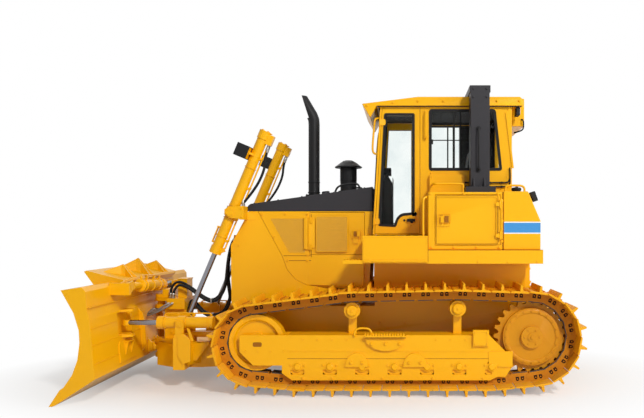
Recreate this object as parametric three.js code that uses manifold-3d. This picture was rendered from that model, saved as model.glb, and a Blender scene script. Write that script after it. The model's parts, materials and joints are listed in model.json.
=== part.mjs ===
// Crawler bulldozer with a power-angle, power-tilt blade on an inside C-frame.
// Millimetres, +X forward, +Y to the machine's left, +Z up.
// The dimensions below are measured from the machine's datum, a point on the ground
// between the tracks. The whole model is shifted once, at the end, so that its origin
// is the middle of its length.
import * as THREE from 'three';
import * as BufferGeometryUtils from 'three/addons/utils/BufferGeometryUtils.js';
import Module from 'manifold-3d';

const wasm = await Module();
wasm.setup();

// ---------------------------------------------------------------- driving dimensions
const seatGap = 0.3;          // between pieces that touch
const pinGap = 1.0;           // round a pin or a rod, on the radius
const runGap = 6;             // beside a moving eye
const beltSag = 1.6;          // how far the faceted rails dip inside their own curve

// tracks
const gauge = 1880;           // between the track centre lines
const shoeWidth = 560;
const shoeCount = 44;
const shoeThick = 22;
const grouserHeight = 66;
const grouserRoot = 34;
const grouserTip = 22;
const chainDepth = 135;       // from the rail to the shoe's outer face
const railThick = 42;
const railSpacing = 76;       // clear width between the two rails
const idlerX = 1639;
const idlerZ = 556;
const idlerRadius = 310;
const sprocketX = -1393;
const sprocketZ = 623;
const sprocketRail = 375;
const sprocketTeeth = 25;
const rollerRadius = 100;
const rollerCount = 7;
const rollerFrontX = 1180;
const rollerRearX = -950;
const carrierRadius = 92;
const carriers = [{ x: 586, z: 909 }, { x: -584, z: 932 }];

// track frames
const frameOuter = 1080;      // outer face, from the mid-plane
const frameWidth = 280;
const frameBottom = 314;
const frameTop = 647;
const frameRearX = -930;
const frameBoxFrontX = 1290;
const forkFrontX = 1815;
const forkPlate = 40;

// main frame
const mainHalfWidth = 440;
const mainBottom = 430;
const mainRearX = -1480;
const mainFrontX = 1960;
const mainTop = 900;
const rearTop = 1430;

// C-frame
const pivotX = 700;
const pivotZ = 430;
const pivotPin = 60;
const armInner = 505;
const armOuter = 605;
const noseFrontX = 2935;
const noseHalfWidth = 450;
const noseBottom = 205;
const noseTop = 476;
const crossRearX = 2340;
const ballX = 3040;
const ballZ = 345;
const ballRadius = 75;
const towerTop = 965;
const towerHalfWidth = 150;
const swivelPin = 45;
const kingPin = 30;            // upright pin under each angle cylinder's yoke
const yokeSeat = 590;          // top of the outrigger that the yoke stands on

// the rail across the radiator's mouth that the blade's hoses start from
const hoseRail = { x: [1985, 2040], z: [1640, 1740] };
const hoseRadius = 16;
const pilotRadius = 11;
const hoseBlockTop = 700;

// blade
const bladeHalfWidth = 1650;
const bladeTipX = 3618;
const bladeTipZ = 3;
const bladeRearX = 3148;
const finY = 546;
const angleEye = { x: 3170, y: 780, z: 748 };
const anglePocket = { reach: 130, depth: 3250, half: 190 };
const tiltEye = { x: 3080, y: 935, z: 1175 };
const tiltYoke = { x: 3080, y: -434, z: 1095 };

// cylinders, each with its reach either side of its pivot, the length of rod inside at
// rest and the stroke left for the rod to draw in
const lift = { y: 600, trunnion: { x: 2014, z: 2006 }, eye: { x: 2528, z: 778 },
  above: 990, below: 514, outer: 62, rod: 30, inside: 620, stroke: 700, eyeRadius: 52, eyeWidth: 70,
    pin: 34 };
const angle = { trunnion: { x: 2532, y: 785, z: 748 },
  above: 358, below: 276, outer: 66, rod: 28.5, inside: 308, stroke: 304, eyeRadius: 42, eyeWidth: 56,
    pin: 32 };
const tilt = { below: 1060, outer: 62, rod: 30, inside: 220, stroke: 110, eyeRadius: 45, eyeWidth: 60,
  pin: 24 };

// hood
const hoodHalfWidth = 500;
const hoodFrontX = 1851;
const hoodRearX = 360;
const hoodFrontTop = 2104;
const hoodRearTop = 2313;
const bandBottom = 2020;
const panelThick = 30;
const guardFrontX = 2044;
const guardBottom = 908;

// cab and rear body
const cabHalfWidth = 620;
const cabFrontX = 380;
const cabRearX = -1241;
const cabFloor = 1745;
const cabTop = 3235;
const cabWall = 60;
const cabLean = 0.06;         // how far the cab's front leans back as it rises
const seatX = -255;            // just ahead of the seat cushion's front edge
const roofTop = 3340;
const ropsOuter = 900;
const ropsTop = 3431;
const bodyOuter = 1120;
const fenderOuter = 1175;

// ------------------------------------------------------------------------- helpers
function solidOf(geometry) {
  geometry.deleteAttribute('normal');
  geometry.deleteAttribute('uv');
  const merged = BufferGeometryUtils.mergeVertices(geometry, 1e-4);
  const vertProperties = new Float32Array(merged.attributes.position.array);
  const triVerts = new Uint32Array(merged.index.array);
  return new wasm.Manifold(new wasm.Mesh({ numProp: 3, vertProperties, triVerts }));
}

function box(x, y, z) {
  const geometry = new THREE.BoxGeometry(x[1] - x[0], y[1] - y[0], z[1] - z[0]);
  geometry.translate((x[0] + x[1]) / 2, (y[0] + y[1]) / 2, (z[0] + z[1]) / 2);
  return solidOf(geometry);
}

// The span from a to b on the given side of the mid-plane, in rising order.
function span(side, a, b) {
  return side > 0 ? [a, b] : [-b, -a];
}

function outlineShape(points) {
  return new THREE.Shape(points.map(([u, v]) => new THREE.Vector2(u, v)));
}

function extruded(shape, depth, basis, origin) {
  const geometry = new THREE.ExtrudeGeometry(shape, { depth, bevelEnabled: false, curveSegments: 10 });
  geometry.applyMatrix4(new THREE.Matrix4().makeBasis(...basis).setPosition(...origin));
  return solidOf(geometry);
}

const axisX = new THREE.Vector3(1, 0, 0);
const axisY = new THREE.Vector3(0, 1, 0);
const axisZ = new THREE.Vector3(0, 0, 1);

// An outline in X and Z, as a plate between two Y values.
function plateXZ(points, y) {
  const basis = [axisX, axisZ, axisY.clone().negate()];
  return extruded(outlineShape(points), y[1] - y[0], basis, [0, y[1], 0]);
}

// An outline in Y and Z, as a plate between two X values.
function plateYZ(points, x) {
  return extruded(outlineShape(points), x[1] - x[0], [axisY, axisZ, axisX], [x[0], 0, 0]);
}

// An outline in X and Y, as a plate between two Z values.
function plateXY(points, z) {
  return extruded(outlineShape(points), z[1] - z[0], [axisX, axisY, axisZ], [0, 0, z[0]]);
}

function bar(from, to, radius, segments = 20, endRadius = radius) {
  const start = new THREE.Vector3(...from);
  const end = new THREE.Vector3(...to);
  const direction = end.clone().sub(start);
  const geometry = new THREE.CylinderGeometry(endRadius, radius, direction.length(), segments);
  geometry.applyQuaternion(new THREE.Quaternion().setFromUnitVectors(axisY, direction.clone().normalize()));
  const middle = start.add(end).multiplyScalar(0.5);
  geometry.translate(middle.x, middle.y, middle.z);
  return solidOf(geometry);
}

function ball(centre, radius, segments = 20) {
  const geometry = new THREE.SphereGeometry(radius, segments, segments / 2);
  geometry.translate(...centre);
  return solidOf(geometry);
}

function joined(...solids) {
  return solids.reduce((whole, solid) => whole.add(solid));
}

function cut(whole, ...tools) {
  return tools.reduce((rest, tool) => rest.subtract(tool), whole);
}

const finishes = {
  yellow: { color: 0xf5ab00, roughness: 0.45, metalness: 0.1 },
  charcoal: { color: 0x37393c, roughness: 0.5, metalness: 0.1 },
  black: { color: 0x151515, roughness: 0.6, metalness: 0.0 },
  steel: { color: 0x8c8a86, roughness: 0.35, metalness: 0.9 },
  chrome: { color: 0xc8ccd0, roughness: 0.15, metalness: 1.0 },
  glass: { color: 0x9fb0b4, roughness: 0.05, metalness: 0.0, transparent: true, opacity: 0.35 },
  rubber: { color: 0x1b1b1c, roughness: 0.8, metalness: 0.0 },
  grey: { color: 0x84827f, roughness: 0.5, metalness: 0.3 },
  fabric: { color: 0x2a2a2c, roughness: 0.9, metalness: 0.0 },
};

function meshOf(name, solid, finish) {
  const data = solid.getMesh();
  const positions = new Float32Array(data.numVert * 3);
  for (let i = 0; i < data.numVert; i += 1) {
    for (let k = 0; k < 3; k += 1) {
      positions[i * 3 + k] = data.vertProperties[i * data.numProp + k];
    }
  }
  const geometry = new THREE.BufferGeometry();
  geometry.setAttribute('position', new THREE.BufferAttribute(positions, 3));
  geometry.setIndex(new THREE.BufferAttribute(new Uint32Array(data.triVerts), 1));
  geometry.computeVertexNormals();
  const mesh = new THREE.Mesh(geometry, new THREE.MeshStandardMaterial(finishes[finish]));
  mesh.name = name;
  return mesh;
}

const machine = new THREE.Group();

function place(name, solid, finish, parent = machine) {
  parent.add(meshOf(name, solid, finish));
}

const sides = [{ side: 1, word: 'left' }, { side: -1, word: 'right' }];

// ------------------------------------------------------------------------- track
// The belt is the convex run of the shoes' outer face round these circles, which are
// taken anticlockwise as seen from the machine's right, with X across and Z up.
const trackHalf = shoeWidth / 2;
const trackY = gauge / 2;
const rollerZ = grouserHeight + chainDepth + rollerRadius;
const beltCircles = [
  { x: rollerFrontX, z: rollerZ, r: rollerRadius + chainDepth },
  { x: idlerX, z: idlerZ, r: idlerRadius + chainDepth },
  { x: carriers[0].x, z: carriers[0].z, r: carrierRadius + chainDepth },
  { x: carriers[1].x, z: carriers[1].z, r: carrierRadius + chainDepth },
  { x: sprocketX, z: sprocketZ, r: sprocketRail + chainDepth },
  { x: rollerRearX, z: rollerZ, r: rollerRadius + chainDepth },
];

// The belt's arcs, each with the straight run that follows it, at a given depth below
// the shoes' outer face.
function beltArcs(inset) {
  const circles = beltCircles.map((c) => ({ ...c, r: c.r - inset }));
  const runs = circles.map((c, i) => {
    const next = circles[(i + 1) % circles.length];
    const heading = Math.atan2(next.z - c.z, next.x - c.x);
    const lean = Math.asin((c.r - next.r) / Math.hypot(next.x - c.x, next.z - c.z));
    const normal = heading - Math.PI / 2 + lean;
    return { normal, from: onCircle(c, normal), to: onCircle(next, normal) };
  });
  return circles.map((circle, i) => {
    const before = runs[(i + circles.length - 1) % circles.length];
    const turn = (runs[i].normal - before.normal + 4 * Math.PI) % (2 * Math.PI);
    return { circle, start: before.normal, turn, run: runs[i] };
  });
}

// A closed ring of points: short chords round each arc and one chord for each run.
function beltRing(inset) {
  const largestStep = Math.PI / 17;
  return beltArcs(inset).flatMap(({ circle, start, turn }) => {
    const steps = Math.ceil(turn / largestStep);
    return Array.from({ length: steps + 1 }, (_, i) => {
      const p = onCircle(circle, start + turn * i / steps);
      return [p.x, p.z];
    });
  });
}

// Points at even steps of arc length, with the outward normal of each.
function beltPoints(inset, count) {
  const pieces = beltArcs(inset).flatMap(({ circle, start, turn, run }) => {
    const length = Math.hypot(run.to.x - run.from.x, run.to.z - run.from.z);
    return [
      { length: turn * circle.r, at: (s) => arcPoint(circle, start, s) },
      { length, at: (s) => linePoint(run, s / length) },
    ];
  });
  const total = pieces.reduce((sum, piece) => sum + piece.length, 0);
  const points = [];
  for (let i = 0; i < count; i += 1) {
    let s = total * (i / count);
    let k = 0;
    while (s > pieces[k].length) {
      s -= pieces[k].length;
      k += 1;
    }
    points.push(pieces[k].at(s));
  }
  return { points, total };
}

function onCircle(c, normal) {
  return { x: c.x + c.r * Math.cos(normal), z: c.z + c.r * Math.sin(normal) };
}

function arcPoint(c, start, s) {
  const normal = start + s / c.r;
  return { ...onCircle(c, normal), normal };
}

function linePoint(run, t) {
  const x = run.from.x + (run.to.x - run.from.x) * t;
  const z = run.from.z + (run.to.z - run.from.z) * t;
  return { x, z, normal: run.normal };
}

function outward(p, distance) {
  return [p.x + distance * Math.cos(p.normal), p.z + distance * Math.sin(p.normal)];
}

function ringXZ(outer, inner, y) {
  const shape = outlineShape(outer);
  shape.holes.push(new THREE.Path(inner.map(([u, v]) => new THREE.Vector2(u, v))));
  return extruded(shape, y[1] - y[0], [axisX, axisZ, axisY.clone().negate()], [0, y[1], 0]);
}

function trackOutline() {
  const stepsPerShoe = 8;
  const { points, total } = beltPoints(0, shoeCount * stepsPerShoe);
  const step = total / points.length;
  const outline = [];
  for (let i = 0; i < points.length; i += stepsPerShoe) {
    const root = points[i];
    const next = points[(i + 1) % points.length];
    const along = grouserRoot / step;
    const end = { ...root, x: root.x + (next.x - root.x) * along, z: root.z + (next.z - root.z) * along };
    const lean = (grouserRoot - grouserTip) / 2 / grouserRoot;
    const mixed = (t) => ({ ...root, x: root.x + (end.x - root.x) * t, z: root.z + (end.z - root.z) * t });
    outline.push(outward(root, 0), outward(mixed(lean), grouserHeight));
    outline.push(outward(mixed(1 - lean), grouserHeight), outward(end, 0));
  }
  return outline;
}

function trackSolid(side) {
  const middle = side * trackY;
  const shoes = ringXZ(trackOutline(), beltRing(shoeThick), [middle - trackHalf, middle + trackHalf]);
  const half = railSpacing / 2;
  const rails = [-1, 1].map((edge) => {
    const inner = middle + edge * half;
    const outer = middle + edge * (half + railThick);
    const y = [Math.min(inner, outer), Math.max(inner, outer)];
    return ringXZ(beltRing(shoeThick - 4), beltRing(chainDepth), y);
  });
  return joined(shoes, ...rails);
}

// --------------------------------------------------------------------- wheels
const chainHalf = railSpacing / 2 + railThick;

function idlerSolid(side) {
  const y = side * trackY;
  const rim = bar([idlerX, y - chainHalf, idlerZ], [idlerX, y + chainHalf, idlerZ], idlerRadius - beltSag,
    32);
  const face = span(side, trackY + chainHalf - 40, trackY + chainHalf + 1);
  const recess = cut(
    bar([idlerX, face[0], idlerZ], [idlerX, face[1], idlerZ], idlerRadius - 45, 22),
    bar([idlerX, face[0] - 1, idlerZ], [idlerX, face[1] + 1, idlerZ], 110, 18),
  );
  const axleHalf = frameWidth / 2 - forkPlate - seatGap;
  const centre = side * (frameOuter - frameWidth / 2);
  const axle = bar([idlerX, centre - axleHalf, idlerZ], [idlerX, centre + axleHalf, idlerZ], 75, 18);
  return joined(cut(rim, recess), axle);
}

const sprocketTip = sprocketRail + 34;
const hubOuter = trackY + 135;
const toothHalf = railSpacing / 2 - 4;

function sprocketSolid(side) {
  const outline = [];
  const root = sprocketRail - 12;
  for (let i = 0; i < sprocketTeeth; i += 1) {
    const pitch = (2 * Math.PI) / sprocketTeeth;
    [[-0.36, root], [-0.14, sprocketTip], [0.14, sprocketTip], [0.36, root]].forEach(([t, r]) => {
      const a = (i + t) * pitch;
      outline.push([sprocketX + r * Math.cos(a), sprocketZ + r * Math.sin(a)]);
    });
  }
  const teeth = plateXZ(outline, [side * trackY - toothHalf, side * trackY + toothHalf]);
  const web = span(side, trackY, hubOuter - 40);
  const hub = span(side, trackY, hubOuter);
  const disc = bar([sprocketX, web[0], sprocketZ], [sprocketX, web[1], sprocketZ], 315, 32);
  const cap = bar([sprocketX, hub[0], sprocketZ], [sprocketX, hub[1], sprocketZ], 120, 20);
  return joined(teeth, disc, cap);
}

// --------------------------------------------------------------------- track frame
function trackFrameSolid(side) {
  const outer = frameOuter;
  const inner = frameOuter - frameWidth;
  const beam = plateXZ([
    [frameRearX, frameBottom + 60], [frameRearX + 60, frameBottom], [frameBoxFrontX, frameBottom],
    [frameBoxFrontX, frameTop], [frameRearX, frameTop],
  ], span(side, inner, outer));
  const forkOutline = [
    [frameBoxFrontX - 80, frameBottom], [forkFrontX - 150, frameBottom], [forkFrontX, frameBottom + 150],
    [forkFrontX, frameTop], [frameBoxFrontX - 80, frameTop],
  ];
  const forks = [[outer - forkPlate, outer], [inner, inner + forkPlate]].map((y) => {
    return plateXZ(forkOutline, span(side, ...y));
  });
  const half = railSpacing / 2 + railThick;
  const posts = carriers.map(({ x, z }) => joined(
    box([x - 45, x + 45], span(side, trackY - half + 4, trackY - half + 64), [frameTop - 10, z + 20]),
    bar([x, side * (trackY - half + 8), z], [x, side * (trackY + half), z], carrierRadius - beltSag, 18),
  ));
  // the lower rollers hang between the two guard plates
  const guardOutline = [
    [rollerRearX - 60, 190], [rollerRearX + 20, 152], [rollerFrontX + 60, 152], [rollerFrontX + 170, 230],
    [rollerFrontX + 170, frameBottom + 20], [rollerRearX - 60, frameBottom + 20],
  ];
  const guards = [[outer - 25, outer], [inner, inner + 25]].map((y) => {
    const plate = plateXZ(guardOutline, span(side, ...y));
    const windows = rollerXs().map((x) => box([x - 75, x + 75], span(side, y[0] - 5, y[1] + 5),
      [215, 270]));
    return cut(plate, ...windows);
  });
  const rollers = rollerXs().map((x) => {
    const y = span(side, inner + 20, outer - 20);
    return bar([x, y[0], rollerZ], [x, y[1], rollerZ], rollerRadius - seatGap, 16);
  });
  return joined(beam, ...forks, ...posts, ...guards, ...rollers);
}

function rollerXs() {
  const step = (rollerFrontX - rollerRearX) / (rollerCount - 1);
  return Array.from({ length: rollerCount }, (_, i) => rollerRearX + i * step);
}

// --------------------------------------------------------------------- main frame
function mainFrameSolid() {
  const body = plateXZ([
    [mainRearX, mainBottom + 160], [mainRearX + 160, mainBottom], [mainFrontX - 120, mainBottom],
    [mainFrontX, mainBottom + 120], [mainFrontX, mainTop], [hoodRearX, mainTop],
    [hoodRearX, rearTop], [mainRearX, rearTop],
  ], [-mainHalfWidth, mainHalfWidth]);
  const inner = frameOuter - frameWidth;
  const parts = [];
  for (const { side } of sides) {
    const reach = (a, b) => span(side, a, b);
    // pivot pin of the C-frame, with its head outside the arm
    const pin = reach(mainHalfWidth - 10, armOuter + runGap);
    const head = reach(armOuter + runGap, armOuter + 28);
    parts.push(bar([pivotX, pin[0], pivotZ], [pivotX, pin[1], pivotZ], pivotPin, 18));
    parts.push(bar([pivotX, head[0], pivotZ], [pivotX, head[1], pivotZ], 90, 18));
    // pivot boss and the two cross members that carry the track frame
    const boss = reach(mainHalfWidth - 10, armInner - runGap);
    parts.push(bar([pivotX, boss[0], pivotZ], [pivotX, boss[1], pivotZ], 105, 18));
    const cross = reach(mainHalfWidth - 10, inner - seatGap);
    parts.push(bar([-480, cross[0], 500], [-480, cross[1], 500], 85, 18));
    parts.push(box([250, 420], cross, [440, 600]));
    // final drive housing behind the sprocket
    const drive = reach(mainHalfWidth - 10, trackY - chainHalf - 14);
    const neck = reach(trackY - chainHalf - 20, trackY - toothHalf - seatGap);
    parts.push(bar([sprocketX, drive[0], sprocketZ], [sprocketX, drive[1], sprocketZ], 235, 22));
    parts.push(bar([sprocketX, neck[0], sprocketZ], [sprocketX, neck[1], sprocketZ], 150, 20));
  }
  // tow hitch at the back
  const hitch = [mainRearX - 230, mainRearX + 10];
  const jaws = [[610, 650], [760, 800]].map((z) => cut(
    box(hitch, [-120, 120], z),
    bar([hitch[0] + 80, 0, z[0] - 5], [hitch[0] + 80, 0, z[1] + 5], 32, 20),
  ));
  parts.push(...jaws);
  return joined(body, ...parts);
}

for (const { side, word } of sides) {
  place(`track_${word}`, trackSolid(side), 'yellow');
  place(`idler_${word}`, idlerSolid(side), 'yellow');
  place(`sprocket_${word}`, sprocketSolid(side), 'yellow');
  place(`track_frame_${word}`, trackFrameSolid(side), 'yellow');
}
place('main_frame', mainFrameSolid(), 'yellow');

// --------------------------------------------------------------------- front body
const engineHalfWidth = 330;
const gapPlate = 0.6;

function hoodTopAt(x) {
  return hoodRearTop + (hoodFrontTop - hoodRearTop) * (x - hoodRearX) / (hoodFrontX - hoodRearX);
}

// The seam where the radiator guard's side meets the engine side panel.
const guardSeam = [[1735, bandBottom], [1449, 1495], [1390, 1330], [1290, 1215], [1160, 1150], [883, 1118]];

place('engine', box([520, 1560], [-engineHalfWidth, engineHalfWidth], [mainTop + seatGap, 1850]), 'yellow');

function radiatorGuardSolid() {
  const outline = [
    [guardSeam[0][0], bandBottom], [hoodFrontX - 12, bandBottom], [2052, 1620], [guardFrontX, guardBottom],
    [883, guardBottom], ...guardSeam.slice(1).reverse(),
  ];
  const half = hoodHalfWidth;
  const shell = plateXZ(outline, [-half, half]);
  const coreRear = 1735;
  const bay = box([800, coreRear - 60], [-half + panelThick, half - panelThick],
    [guardBottom - 20, bandBottom + 20]);
  const lowerBay = box([800, mainFrontX + 5], [-half - 5, half + 5], [guardBottom - 20, mainTop + seatGap]);
  const mouth = plateXZ([
    [1790, 1940], [2100, 1940], [2100, guardBottom + 130], [1960, guardBottom + 130],
  ], [-390, 390]);
  const guard = cut(shell, bay, lowerBay, mouth);
  const extras = [];
  const { x, z } = lift.trunnion;
  const yokeRear = hoodFrontX + 4;
  const earInner = [lift.y - lift.outer - 42, lift.y - lift.outer - 18];
  const earOuter = [lift.y + lift.outer + 18, lift.y + lift.outer + 42];
  for (const { side } of sides) {
    const back = box([yokeRear, 1905], span(side, half - 20, earOuter[1]), [1920, 2075]);
    const ears = [earInner, earOuter].map((y) => {
      const ear = plateXZ([[yokeRear, 1920], [x + 10, z - 62], [x + 62, z - 20], [x + 62, z + 30],
        [x + 10, z + 66], [yokeRear, 2075]], span(side, ...y));
      const hole = span(side, y[0] - 5, y[1] + 5);
      return cut(ear, bar([x, hole[0], z], [x, hole[1], z], lift.pin + pinGap, 18));
    });
    extras.push(back, ...ears, box([1760, 1905], span(side, half - 30, half + 6), [1920, 2015]));
  }
  extras.push(box(hoseRail.x, [-400, 400], hoseRail.z));
  return joined(guard, ...extras);
}

place('radiator_guard', radiatorGuardSolid(), 'yellow');
const grille = plateXZ([[1800, 1939.7], [1826, 1939.7], [1994, guardBottom + 130.3],
  [1968, guardBottom + 130.3]],
  [-389.7, 389.7]);
place('radiator_grille', grille, 'charcoal');

function hoodTopSolid() {
  const top = [[hoodRearX + 22, hoodTopAt(hoodRearX + 22)], [hoodFrontX - 30, hoodTopAt(hoodFrontX - 30)],
    [hoodFrontX, 2085]];
  const outline = [[hoodRearX + 22, bandBottom + gapPlate], [hoodFrontX, bandBottom + gapPlate],
    ...top.reverse()];
  const skin = plateXZ(outline, [-hoodHalfWidth - 4, hoodHalfWidth + 4]);
  const hollow = box([hoodRearX - 20, hoodFrontX - 130], [-hoodHalfWidth + 40, hoodHalfWidth - 40],
    [1900, 2060]);
  return cut(skin, hollow);
}

place('hood_top', hoodTopSolid(), 'charcoal');

const doorX = [480, 1119];
const doorZ = [1512, 2004];
const doorHingeX = doorX[1] + 12;

function sidePanelSolid(side) {
  const seam = guardSeam.map(([x, z]) => [x - gapPlate - 2, z]);
  const outline = [[hoodRearX + 22, bandBottom], ...seam, [hoodRearX + 62, 1118]];
  const y = [hoodHalfWidth - panelThick, hoodHalfWidth];
  const plate = plateXZ(outline, span(side, ...y));
  const opening = box([doorX[0] - 4, doorX[1] + 4], span(side, y[0] - 5, y[1] + 5),
    [doorZ[0] - 4, doorZ[1] + 4]);
  const hinge = [hoodHalfWidth - 6, hoodHalfWidth + 26];
  const leaf = box([doorHingeX + 12, doorHingeX + 60], span(side, ...hinge),
    [doorZ[0] + 60, doorZ[1] - 60]);
  return joined(cut(plate, opening), leaf);
}

function engineDoorSolid(side) {
  const y = [hoodHalfWidth - panelThick, hoodHalfWidth];
  const plate = box(doorX, span(side, ...y), doorZ);
  const barrel = bar([doorHingeX, side * (hoodHalfWidth + 12), doorZ[0] + 60],
    [doorHingeX, side * (hoodHalfWidth + 12), doorZ[1] - 60], 11.5, 12);
  const tab = joined(
    box([doorX[1] - 60, doorX[1] - 4], span(side, hoodHalfWidth - 4, hoodHalfWidth + 14),
      [doorZ[0] + 80, doorZ[1] - 80]),
    box([doorX[1] - 10, doorHingeX], span(side, hoodHalfWidth + 2, hoodHalfWidth + 14),
      [doorZ[0] + 80, doorZ[1] - 80]),
  );
  const latch = box([552, 612], span(side, hoodHalfWidth - 4, hoodHalfWidth + 14), [1640, 1740]);
  return joined(plate, barrel, tab, latch);
}

for (const { side, word } of sides) {
  place(`side_panel_${word}`, sidePanelSolid(side), 'yellow');
  place(`engine_door_${word}`, engineDoorSolid(side), 'yellow');
}

const stackX = 1136;
const stackRadius = 70;
const stackTop = 3470;

// What stands on the sloping hood is cut off along it.
function standOnHood(solid) {
  const ends = [hoodRearX, hoodFrontX - 30];
  const under = plateXZ([
    [ends[0], 1900], [ends[1], 1900], [ends[1], hoodTopAt(ends[1]) + seatGap],
    [ends[0], hoodTopAt(ends[0]) + seatGap],
  ], [-300, 300]);
  return cut(solid, under);
}

function exhaustSolid() {
  const base = hoodTopAt(stackX) - 20;
  const flange = bar([stackX, 0, base], [stackX, 0, base + 55], 105, 18);
  // a straight pipe that bends forward, with its mouth cut nearly upright
  const points = [[0, base], [0, 3130], [0, 3185], [12, 3205], [30, 3238], [204, 3529]];
  const [foot, knee, low, high, neck, end] = points.map(([x, z]) => new THREE.Vector3(stackX + x, 0, z));
  const route = new THREE.CurvePath();
  route.add(new THREE.LineCurve3(foot, knee));
  route.add(new THREE.CubicBezierCurve3(knee, low, high, neck));
  route.add(new THREE.LineCurve3(neck, end));
  const ring = new THREE.Shape().absarc(0, 0, stackRadius, 0, 2 * Math.PI);
  const pipe = solidOf(new THREE.ExtrudeGeometry(ring, { steps: 24, curveSegments: 8, extrudePath: route }));
  const boreEnd = neck.clone().lerp(end, 0.3);
  const bore = bar(boreEnd.toArray(), end.toArray(), stackRadius - 6, 16);
  const mouth = plateXZ([
    [stackX + 61, 3195], [stackX + 600, 3195], [stackX + 600, 3700], [stackX - 200, 3700],
    [stackX - 200, stackTop], [stackX + 147, stackTop],
  ], [-200, 200]);
  return standOnHood(cut(joined(flange, pipe), bore, mouth));
}

place('exhaust_stack', exhaustSolid(), 'black');

function precleanerSolid() {
  const x = 707;
  const base = hoodTopAt(x) - 25;
  return standOnHood(joined(
    bar([x, 0, base], [x, 0, 2585], 101, 20),
    bar([x, 0, base], [x, 0, base + 50], 125, 20),
    bar([x, 0, 2572], [x, 0, 2592], 164, 28),
    bar([x, 0, 2592], [x, 0, 2640], 158, 28, 98),
    bar([x, 0, 2640], [x, 0, 2658], 98, 28, 64),
  ));
}

place('air_precleaner', precleanerSolid(), 'black');

// --------------------------------------------------------------------- rear body
const boxRearX = -1062;
const boxFrontX = -251;
const boxBottom = 1606;
const boxTop = 2214;
const fenderTop = 1585;
const stepTop = 1736;
const rearTankX = -1478;

function fenderSolid(side) {
  const inner = mainHalfWidth + seatGap;
  const deck = box([-1495, -239], span(side, inner, fenderOuter), [1434, fenderTop]);
  const step = box([-239 - 10, 462], span(side, hoodHalfWidth + gapPlate, fenderOuter), [1440, stepTop]);
  const rail = box([-1400, hoodRearX], span(side, inner, cabHalfWidth), [1130, 1450]);
  return joined(deck, step, rail);
}

const serviceDoorX = [-1040, -330];
const serviceDoorZ = [1640, 2180];
const serviceHingeX = serviceDoorX[0] - 10;

function serviceBoxSolid(side) {
  const shell = box([boxRearX, boxFrontX], span(side, cabHalfWidth + 12, bodyOuter),
    [fenderTop + seatGap, boxTop]);
  const inside = box([boxRearX + 40, boxFrontX - 40], span(side, cabHalfWidth + 50, bodyOuter - 24),
    [boxBottom + 30, boxTop - 30]);
  const opening = box([serviceDoorX[0] - 4, serviceDoorX[1] + 4], span(side, bodyOuter - 40, bodyOuter + 5),
    [serviceDoorZ[0] - 4, serviceDoorZ[1] + 4]);
  return cut(shell, inside, opening);
}

function serviceDoorSolid(side) {
  const plate = box(serviceDoorX, span(side, bodyOuter - 24, bodyOuter), serviceDoorZ);
  const y = side * (bodyOuter + 12);
  const barrel = bar([serviceHingeX, y, serviceDoorZ[0] + 60], [serviceHingeX, y, serviceDoorZ[1] - 60],
    11.5, 12);
  const tabZ = [serviceDoorZ[0] + 80, serviceDoorZ[1] - 80];
  const tab = joined(
    box([serviceDoorX[0] + 4, serviceDoorX[0] + 50], span(side, bodyOuter - 4, bodyOuter + 14), tabZ),
    box([serviceHingeX, serviceDoorX[0] + 10], span(side, bodyOuter + 2, bodyOuter + 14), tabZ),
  );
  const latch = box([-500, -410], span(side, bodyOuter - 4, bodyOuter + 12), [1880, 1970]);
  return joined(plate, barrel, tab, latch);
}

for (const { side, word } of sides) {
  place(`fender_${word}`, fenderSolid(side), 'yellow');
  place(`service_box_${word}`, serviceBoxSolid(side), 'yellow');
  place(`service_door_${word}`, serviceDoorSolid(side), 'yellow');
}

function fuelTankSolid() {
  const outline = [
    [rearTankX, fenderTop + seatGap], [boxRearX - gapPlate - 10, fenderTop + seatGap],
      [boxRearX - gapPlate - 10, 2222],
    [-1341, 2222], [rearTankX, 1900],
  ];
  const wings = sides.map(({ side }) => plateXZ(outline, span(side, cabHalfWidth + 12, bodyOuter)));
  const middle = plateXZ([
    [rearTankX, fenderTop + seatGap], [cabRearX - 12, fenderTop + seatGap], [cabRearX - 12, 2222],
      [-1341, 2222],
    [rearTankX, 1900],
  ], [-cabHalfWidth - 20, cabHalfWidth + 20]);
  const hip = box([-1400, cabRearX - 12], [-cabHalfWidth - 20, cabHalfWidth + 20],
    [rearTop + seatGap, 1700]);
  return joined(...wings, middle, cut(hip, box([-2000, 0], [-2000, -mainHalfWidth], [0, 1586]),
    box([-2000, 0], [mainHalfWidth, 2000], [0, 1586])));
}

place('fuel_tank', fuelTankSolid(), 'yellow');

// --------------------------------------------------------------------- cab
const cabDoorRearX = -170;
const cabDoorInset = 29;       // from the cab's front face to the door's front edge
const cabDoorZ = [1762, 3215];
const cabDoorHinge = { inset: 10, y: cabHalfWidth + 12 };
const cabDoorWindow = [[-88, 2020], [-72, 2000], [48, 1988], [98, 1938], [125, 1860], [285, 1872],
  [218, 3130], [-88, 3130]];
const sideWindow = [[-290, 2500], [-290, 3190], [-1040, 3190], [-1115, 2500]];
const windshield = { y: 520, z: [2400, 3160] };
const rearWindow = { y: 480, z: [2330, 3120] };
const paneInset = 22;
const paneThick = 14;

function grown(points, margin) {
  const cx = points.reduce((sum, p) => sum + p[0], 0) / points.length;
  const cz = points.reduce((sum, p) => sum + p[1], 0) / points.length;
  return points.map(([x, z]) => [x + Math.sign(x - cx) * margin, z + Math.sign(z - cz) * margin]);
}

// A counter-clockwise outline moved inwards.
function inset(points, gap) {
  const normal = (a, b) => {
    const length = Math.hypot(b[0] - a[0], b[1] - a[1]);
    return [-(b[1] - a[1]) / length, (b[0] - a[0]) / length];
  };
  return points.map((p, i) => {
    const n = normal(points.at(i - 1), p);
    const m = normal(p, points[(i + 1) % points.length]);
    const share = gap / (1 + n[0] * m[0] + n[1] * m[1]);
    return [p[0] + (n[0] + m[0]) * share, p[1] + (n[1] + m[1]) * share];
  });
}

const cabFrontAt = (z) => cabFrontX - cabLean * (z - cabFloor);

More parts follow.
